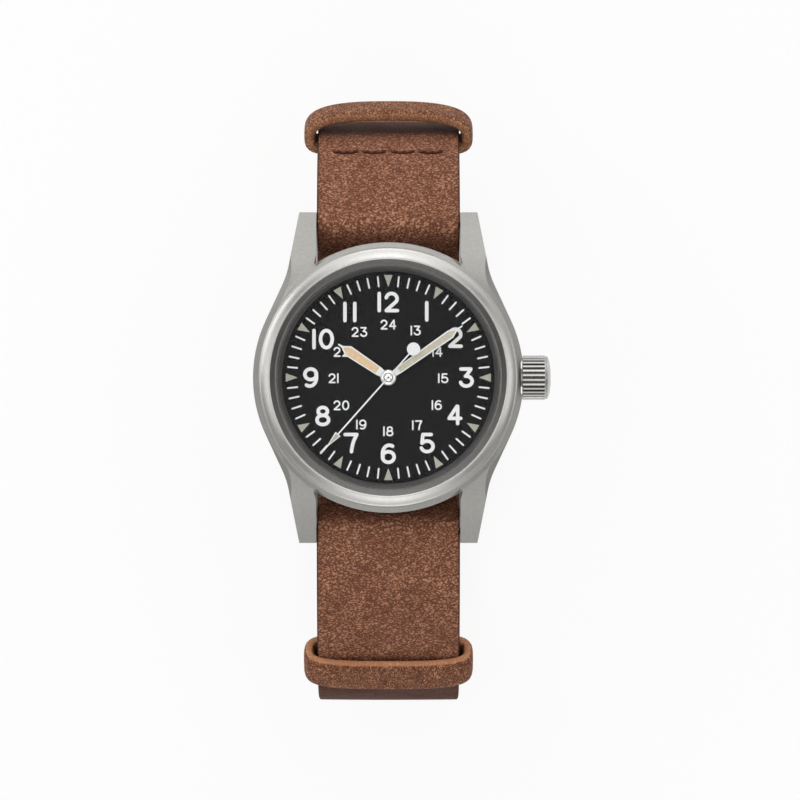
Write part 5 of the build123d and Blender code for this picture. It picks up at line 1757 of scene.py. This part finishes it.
@dataclass
class Ink:
    """Printed strokes as thin raised ribbons with round ends.

    One stroke in three lies at the same level, so that no faces coincide where strokes cross.
    """

    level: float
    thickness: float = 0.025
    level_step: float = 0.0015
    level_count: int = 3
    end_steps: int = 5
    end_degrees: float = 84.0

    def __post_init__(self) -> None:
        """Start with no strokes."""
        self.patches: list[Patch] = []

    def stroke(self, path: np.ndarray, width: float) -> None:
        """Add one stroke.

        Each row of the ribbon lies across the path. Past an open end, rows step out by the sine of an
        angle and narrow by its cosine, which makes the end round.

        Args:
            path: Points in the dial's plane; equal first and last points close it.
            width: Width of the stroke.
        """
        half = width / 2
        closed = bool(np.allclose(path[0], path[-1]))
        places = path[:-1] if closed else path
        if closed:
            ahead = np.roll(places, -1, axis=0) - np.roll(places, 1, axis=0)
        else:
            ahead = np.gradient(places, axis=0)
        ahead = ahead / np.linalg.norm(ahead, axis=1, keepdims=True)
        halves = np.full(len(places), half)
        if not closed:
            turn = np.radians(np.linspace(0, self.end_degrees, self.end_steps + 1)[1:])
            tail = places[-1] + ahead[-1] * half * np.sin(turn)[:, None]
            head = places[0] - ahead[0] * half * np.sin(turn)[::-1, None]
            places = np.concatenate([head, places, tail])
            ahead = np.pad(ahead, ((len(turn), len(turn)), (0, 0)), mode="edge")
            halves = np.concatenate([half * np.cos(turn)[::-1], halves, half * np.cos(turn)])
        side = np.stack([-ahead[:, 1], ahead[:, 0]], axis=-1) * halves[:, None]
        top = self.level + self.thickness + self.level_step * (len(self.patches) % self.level_count)
        columns = [(side, self.level), (side, top), (-side, top), (-side, self.level)]
        points = np.stack(
            [np.column_stack([places + shift, np.full(len(places), z)]) for shift, z in columns], axis=1
        )
        along = np.arange(len(places) + 1) * 1.0
        self.patches.append(Patch(points, along, np.arange(5.0), rows_close=closed))


@dataclass
class Dial:
    """Printing on the dial: hours, the inner 24-hour ring and the minute track."""

    palette: Palette
    numerals: Numerals
    minute_count: int = 60
    hour_height: float = 2.9
    hour_stroke: float = 0.5
    hour_gap: float = 0.42
    twin_gap: float = 0.88
    ring_height: float = 1.4
    ring_stroke: float = 0.22
    ring_gap: float = 0.2
    tick_from: float = 12.75
    tick_to: float = 14.3
    tick_width: float = 0.24
    hours: tuple[tuple[str, float, float], ...] = (
        ("12", 0.0, 10.6), ("1", 5.4, 9.3), ("2", 9.4, 5.6), ("3", 10.95, 0.0), ("4", 9.35, -5.25),
        ("5", 5.44, -9.2), ("6", 0.0, -10.7), ("7", -5.25, -9.2), ("8", -9.2, -5.4), ("9", -10.9, 0.0),
        ("10", -9.16, 5.4), ("11", -5.4, 9.2),
    )
    ring: tuple[tuple[str, float, float], ...] = (
        ("24", 0.0, 7.43), ("13", 3.84, 6.6), ("14", 6.9, 3.6), ("15", 7.7, -0.1), ("16", 6.8, -3.87),
        ("17", 4.05, -6.7), ("18", 0.0, -7.55), ("19", -3.8, -6.6), ("20", -6.6, -3.9), ("21", -7.7, -0.1),
        ("22", -6.6, 3.6), ("23", -4.07, 6.4),
    )

    def build(self) -> None:
        """Print everything in one piece on the dial."""
        ink = Ink(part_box("dial")[1][2] / MM)
        for text, x, y in self.hours:
            gap = self.twin_gap if text == "11" else self.hour_gap
            self.write(ink, text, x, y, self.hour_height, self.hour_stroke, gap)
        for text, x, y in self.ring:
            self.write(ink, text, x, y, self.ring_height, self.ring_stroke, self.ring_gap)
        for minute in range(self.minute_count):
            if minute % 5:
                turn = 2 * math.pi * minute / self.minute_count
                way = np.array([math.sin(turn), math.cos(turn)])
                ends = np.array([self.tick_from + self.tick_width / 2, self.tick_to - self.tick_width / 2])
                ink.stroke(ends[:, None] * way, self.tick_width)
        make_piece("dial_figures", ink.patches, Body.CASE, self.palette.printing)

    def write(
        self, ink: Ink, text: str, x: float, y: float, height: float, stroke: float, gap: float
    ) -> None:
        """Print one number centred on a place.

        Args:
            ink: Printing to add to.
            text: Figures of the number.
            x: Middle across.
            y: Middle up.
            height: Outer height of the figures.
            stroke: Width of the strokes.
            gap: Free space between two figures.
        """
        size = height - stroke
        widths = [self.numerals.reach(figure) * size + stroke for figure in text]
        left = x - (sum(widths) + gap * (len(text) - 1)) / 2
        for figure, width in zip(text, widths):
            corner = np.array([left + stroke / 2, y - size / 2])
            for path in self.numerals.figures[figure]:
                ink.stroke(path * size + corner, stroke)
            left += width + gap


@dataclass
class Hands:
    """Bosses and the luminous arrow on the hands.

    The profiles give radii with heights above the top of the hand.
    """

    palette: Palette
    seconds_degrees: float = 221.6
    arrow_from: float = 10.72
    arrow_to: float = 12.3
    arrow_half: float = 0.3
    arrow_tip_half: float = 0.06
    arrow_sunk: float = 0.01
    arrow_rise: float = 0.03
    facets: int = 64
    hole_shade_facets: int = 24
    boss: tuple[Span, ...] = ((0.7, 0.0), (1.02, 0.0), (1.06, 0.05), (0.98, 0.13), (0.7, 0.17))
    cap: tuple[Span, ...] = (
        (0.09, -0.02), (0.66, -0.02), (0.66, 0.06), (0.54, 0.2), (0.3, 0.26), (0.13, 0.25), (0.09, 0.18),
    )
    hole_shade: tuple[Span, ...] = ((0.004, 0.0), (0.088, 0.0), (0.088, 0.12), (0.004, 0.14))

    def build(self) -> None:
        """Make the minute hand's boss, the seconds hand's cap, the black disc of painted shade in the cap's
        hole, and its arrow's fill.
        """
        polished = self.palette.polished
        boss = turned(self.boss, self.facets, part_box("minute_hand")[1][2] / MM)
        make_piece("minute_boss", [boss], Body.MINUTES, polished)
        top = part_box("seconds_hand")[1][2] / MM
        make_piece("seconds_cap", [turned(self.cap, self.facets, top)], Body.SECONDS, polished)
        # Painted shade: a black disc filling the cap's central hole.
        hole_shade = turned(self.hole_shade, self.hole_shade_facets, top)
        make_piece("seconds_hole_shade", [hole_shade], Body.SECONDS, self.palette.shadow)
        fill = prism(self.arrow(), top - self.arrow_sunk, top + self.arrow_rise)
        make_piece("seconds_arrow_lume", [fill], Body.SECONDS, self.palette.plot_lume)

    def arrow(self) -> np.ndarray:
        """Lay out the arrow's fill along the seconds hand.

        Returns:
            Its outline in the dial's plane.
        """
        turn = math.radians(self.seconds_degrees)
        way = np.array([math.sin(turn), math.cos(turn)])
        side = np.array([-way[1], way[0]])
        foot, tip = way * self.arrow_from, way * self.arrow_to
        half, tip_half = side * self.arrow_half, side * self.arrow_tip_half
        return np.array([foot + half, tip + tip_half, tip - tip_half, foot - half])


@dataclass
class Bezel:
    """Polished-down bezel and the slope inside it, a darker steel laid as painted shade for the slope's dark
    reflections.

    The slope's profile stands a few hundredths off the bezel's, so that no faces coincide.
    """

    palette: Palette
    bore: float = 15.62
    outer: float = 18.15
    inner: float = 16.57
    seat: float = 15.94
    lip: float = 0.85
    slope_height: float = 0.62
    dome: float = 0.38
    dome_power: float = 1.6
    edge: float = 0.18
    face_steps: int = 9
    edge_steps: int = 6
    facets: int = 240

    def build(self) -> None:
        """Make the bezel in place of its solid, and the slope."""
        low, high = (corner[2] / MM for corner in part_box("bezel_ring"))
        shell = turned(self.shell(low - high), self.facets, high)
        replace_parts(make_piece("bezel_shell", [shell], Body.CASE, self.palette.bezel), "bezel_ring")
        slope = turned(self.slope(), self.facets, high)
        # Painted shade: the slope is a darker steel skin over the bezel's own slope.
        make_piece("bezel_slope", [slope], Body.CASE, self.palette.slope_shade_steel)

    def shell(self, foot: float) -> tuple[Span, ...]:
        """Lay out the bezel.

        The face falls from its inner edge by the dome times a power of the place across it, and a
        quarter circle joins it to the outer wall.

        Args:
            foot: Height of the bezel's foot below its top, as a negative number.

        Returns:
            Its profile, with heights from its top.
        """
        reach = np.linspace(self.inner + 0.08, self.outer - self.edge, self.face_steps)
        share = (reach - reach[0]) / (reach[-1] - reach[0])
        turn = np.radians(np.linspace(0, 90, self.edge_steps))[1:]
        edge_r = self.outer - self.edge + self.edge * np.sin(turn)
        edge_z = -self.dome - self.edge + self.edge * np.cos(turn)
        return (
            *zip(reach, -self.dome * share**self.dome_power),
            *zip(edge_r, edge_z),
            (self.outer, foot),
            (self.bore, foot),
            (self.bore, foot + self.lip),
            (self.seat, foot + self.lip),
            (self.seat, -self.slope_height - 0.08),
            (self.inner + 0.02, -0.03),
        )

    def slope(self) -> tuple[Span, ...]:
        """Lay out the slope.

        Returns:
            Its profile, with heights from the bezel's top.
        """
        return (
            (self.seat - 0.004, -self.slope_height - 0.1),
            (self.seat - 0.004, -self.slope_height),
            (self.inner - 0.01, -0.02),
            (self.inner + 0.05, -0.05),
            (self.seat + 0.1, -self.slope_height - 0.06),
        )


class Wardrobe:
    """Finishes of the nodes whose shapes stay as the construction made them."""

    def __init__(self, palette: Palette) -> None:
        """List the nodes of each finish.

        Args:
            palette: Every finish.
        """
        small_parts = (
            "spring_bars", "winding_stem", "winding_pinion", "crown_wheel", "ratchet_wheel", "barrel_arbor",
            "click", "sliding_pinion", "yoke", "setting_lever", "pallet_fork", "mainspring", "hairspring",
            "bridge_screws", "cannon_pinion", "setting_wheel",
        )
        wheels = (
            "centre_wheel", "third_wheel", "fourth_wheel", "escape_wheel", "hour_wheel", "minute_wheel",
            "balance_wheel",
        )
        self.sets: list[tuple[bpy.types.Material, tuple[str, ...]]] = [
            (palette.steel, ("case_middle",)),
            (palette.fluted, ("crown",)),
            (palette.satin, ("case_back", "buckle_frame", "buckle_tongue", "buckle_bar", "crown_tube")),
            (palette.small_steel, small_parts),
            (palette.nylon, ("crystal_gasket",)),
            (palette.rubber, ("case_back_gasket", "crown_gasket")),
            (palette.crystal, ("crystal",)),
            (palette.lacquer, ("dial",)),
            (palette.flange, ("flange_ring",)),
            (palette.plot_lume, ("lume_plots",)),
            (palette.hand_lume, ("hour_hand_lume",)),
            (palette.faded_lume, ("minute_hand_lume",)),
            (palette.enamel, ("hour_hand", "minute_hand", "seconds_hand")),
            (palette.moulding, ("movement_ring",)),
            (palette.nickel, ("main_plate", "barrel_bridge", "train_bridge", "balance_cock", "barrel_drum")),
            (palette.brass, wheels),
            (palette.ruby, ("jewels",)),
        ]

    def dress(self) -> None:
        """Give each node its finish."""
        for material, names in self.sets:
            for name in names:
                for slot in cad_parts[name].material_slots:
                    slot.material = material
            LOG.info("%s on %s", material.name, ", ".join(names))


# Studio


@dataclass(frozen=True)
class Belt:
    """Light round a belt of the surroundings.

    Attributes:
        mean: Mean strength.
        star: How much more comes from 12, 3, 6 and 9 o'clock, and less from between them.
        band: How much more comes from 12 and 6 o'clock, and less from 3 and 9.
        lean: How much more comes from 12 o'clock, and less from 6.
    """

    mean: float
    star: float
    band: float
    lean: float

    def strength(self, bench: Bench, cross: Socket, bands: Socket, lean: Socket) -> Socket:
        """Sum up the belt's light.

        It is the mean, plus the star times the cosine of four times the turn, plus the band times the
        cosine of twice the turn, plus the lean times the share towards 12 o'clock. The cosine of four
        times the turn is one less eight times the square of the product.

        Args:
            bench: Tree to build in.
            cross: Square of the product of the level direction's sine and cosine.
            bands: Cosine of twice the turn.
            lean: Share of the direction towards 12 o'clock.

        Returns:
            The strength.
        """
        strength = bench.sums("ADD", bench.sums("MULTIPLY", cross, -8 * self.star), self.mean + self.star)
        strength = bench.sums("ADD", strength, bench.sums("MULTIPLY", bands, self.band))
        return bench.sums("ADD", strength, bench.sums("MULTIPLY", lean, self.lean))


@dataclass
class Studio:
    """Floor, lights, surroundings and the camera."""

    photo_pixels: float = 800.0
    pixels_a_mm: float = 7.13
    dial_pixel: Span = (388.3, 377.5)
    dial_plane: float = 52.0
    distance: float = 800.0
    sensor: float = 36.0
    clip_m: Span = (0.01, 10.0)
    floor_half: float = 1500.0
    floor_gap: float = 0.03
    floor_tones: tuple[Colour, Colour] = ((0.92, 0.92, 0.92), (0.94, 0.94, 0.94))
    floor_roughness: float = 0.9
    floor_scale: float = 900.0
    floor_glow: float = 0.88
    softbox_place_m: Vector = (-0.75, 0.3, 0.6)
    softbox_aim_m: Vector = (0, 0, 0.05)
    softbox_size_m: float = 0.5
    softbox_watts: float = 1.3
    zenith: float = 1.05
    panels: Belt = Belt(1.08, 0.88, 0.28, 0.15)
    horizon: Belt = Belt(0.8, 0.0, 0.45, 0.28)
    panels_span: Span = (0.03, 0.22)
    horizon_span: Span = (0.52, 0.7)
    least: float = 0.02
    least_tilt2: float = 0.0001

    def build(self) -> None:
        """Set everything up."""
        bpy.context.scene.view_settings.view_transform = "Standard"
        self.place_camera()
        self.lay_floor()
        self.fill_world()
        self.hang_softbox()

    def place_camera(self) -> None:
        """Look straight down with a long lens so that the dial falls on its place in the photograph.

        At the dial's plane the frame is as wide as its pixels over the pixels of a millimetre.
        """
        lens = bpy.data.cameras.new("photo_camera")
        lens.sensor_width = self.sensor
        lens.lens = self.sensor * self.distance / (self.photo_pixels / self.pixels_a_mm)
        lens.clip_start, lens.clip_end = self.clip_m
        camera = put("photo_camera", lens)
        middle = self.photo_pixels / 2
        x = (middle - self.dial_pixel[0]) / self.pixels_a_mm
        y = (self.dial_pixel[1] - middle) / self.pixels_a_mm
        camera.location = (x * MM, y * MM, (self.dial_plane + self.distance) * MM)
        bpy.context.scene.camera = camera

    def lay_floor(self) -> None:
        """Lay a pale floor just under the standing height."""
        corners = np.array([[-1, -1], [1, -1], [1, 1], [-1, 1]]) * self.floor_half * MM
        low = np.full((4, 1), -self.floor_gap * MM)
        mesh = bpy.data.meshes.new("floor")
        mesh.from_pydata(np.hstack([corners, low]).tolist(), [], [(0, 1, 2, 3)])
        mesh.materials.append(self.floor_paper())
        put("floor", mesh)

    def floor_paper(self) -> bpy.types.Material:
        """Make the floor's paper, white to the eye and in reflections but for a soft shadow.

        Returns:
            The material.
        """
        material = bpy.data.materials.new("floor_paper")
        material.use_nodes = True
        bench = Bench(material.node_tree)
        path = bench.node("ShaderNodeLightPath").outputs
        seen = bench.sums("MAXIMUM", path["Is Camera Ray"], path["Is Glossy Ray"])
        seen = bench.sums("MAXIMUM", seen, path["Is Transmission Ray"])
        grain = bench.noise(bench.coordinates(Lay.OBJECT), self.floor_scale, 3).outputs["Fac"]
        paper = bench.node("ShaderNodeBsdfPrincipled")
        tone = bench.blended(grain, *self.floor_tones)
        bench.feed(paper, {"Base Color": tone, "Roughness": self.floor_roughness})
        glow = bench.node("ShaderNodeEmission")
        mixed = bench.node("ShaderNodeMixShader")
        share = bench.sums("MULTIPLY", seen, self.floor_glow)
        bench.feed(mixed, {0: share, 1: paper.outputs[0], 2: glow.outputs[0]})
        bench.feed(bench.node("ShaderNodeOutputMaterial"), {"Surface": mixed.outputs[0]})
        return material

    def fill_world(self) -> None:
        """Surround the scene with pale light, as of a tent with panels at 12, 3, 6 and 9 o'clock.

        The strength is plain at the zenith and crosses over to a belt of panels and then to the horizon
        as the sine of the tilt grows. The tent leaves no light beside its panels.
        """
        world = bpy.data.worlds.new("studio")
        bpy.context.scene.world = world
        world.use_nodes = True
        bench = Bench(world.node_tree)
        way = bench.axes(bench.node("ShaderNodeTexCoord").outputs["Generated"])
        x2 = bench.sums("POWER", way["X"], 2.0)
        y2 = bench.sums("POWER", way["Y"], 2.0)
        tilt2 = bench.sums("MAXIMUM", bench.sums("ADD", x2, y2), self.least_tilt2)
        tilt = bench.sums("SQRT", tilt2)
        cross = bench.sums("DIVIDE", bench.sums("MULTIPLY", x2, y2), bench.sums("MULTIPLY", tilt2, tilt2))
        bands = bench.sums("DIVIDE", bench.sums("SUBTRACT", y2, x2), tilt2)
        lean = bench.sums("DIVIDE", way["Y"], tilt)
        level: Feed = self.zenith
        for belt, span in ((self.panels, self.panels_span), (self.horizon, self.horizon_span)):
            strength = belt.strength(bench, cross, bands, lean)
            level = self.crossed(bench, bench.ramped(tilt, span), level, strength)
        level = bench.sums("MAXIMUM", level, self.least)
        seen = bench.node("ShaderNodeLightPath").outputs["Is Camera Ray"]
        sky = bench.node("ShaderNodeBackground")
        bench.feed(sky, {"Strength": bench.sums("MAXIMUM", level, seen), "Color": (1, 1, 1)})
        bench.feed(bench.node("ShaderNodeOutputWorld"), {"Surface": sky.outputs[0]})

    @staticmethod
    def crossed(bench: Bench, share: Socket, first: Feed, second: Feed) -> Socket:
        """First value, crossing over to the second as the share grows."""
        change = bench.sums("MULTIPLY", share, bench.sums("SUBTRACT", second, first))
        return bench.sums("ADD", change, first)

    def hang_softbox(self) -> None:
        """Hang a weak softbox at 9 o'clock that points at the dial."""
        lamp = bpy.data.lights.new("softbox_nine", "AREA")
        lamp.shape = "RECTANGLE"
        lamp.size = lamp.size_y = self.softbox_size_m
        lamp.energy = self.softbox_watts
        light = put("softbox_nine", lamp)
        light.location = self.softbox_place_m
        aim = np.array(self.softbox_aim_m) - np.array(self.softbox_place_m)
        pitch = math.acos(-aim[2] / np.linalg.norm(aim))
        light.rotation_euler = (pitch, 0, math.atan2(aim[1], aim[0]) - math.pi / 2)


def main() -> None:
    """Build the dressed watch and its studio."""
    logging.basicConfig(level=logging.INFO, format="%(name)s: %(message)s")
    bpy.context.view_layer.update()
    palette = Palette()
    Studio().build()
    Wardrobe(palette).dress()
    Leatherwork(palette, StrapRoute()).build()
    Bezel(palette).build()
    Dial(palette, Numerals()).build()
    Hands(palette).build()


if __name__ == "__main__":
    main()
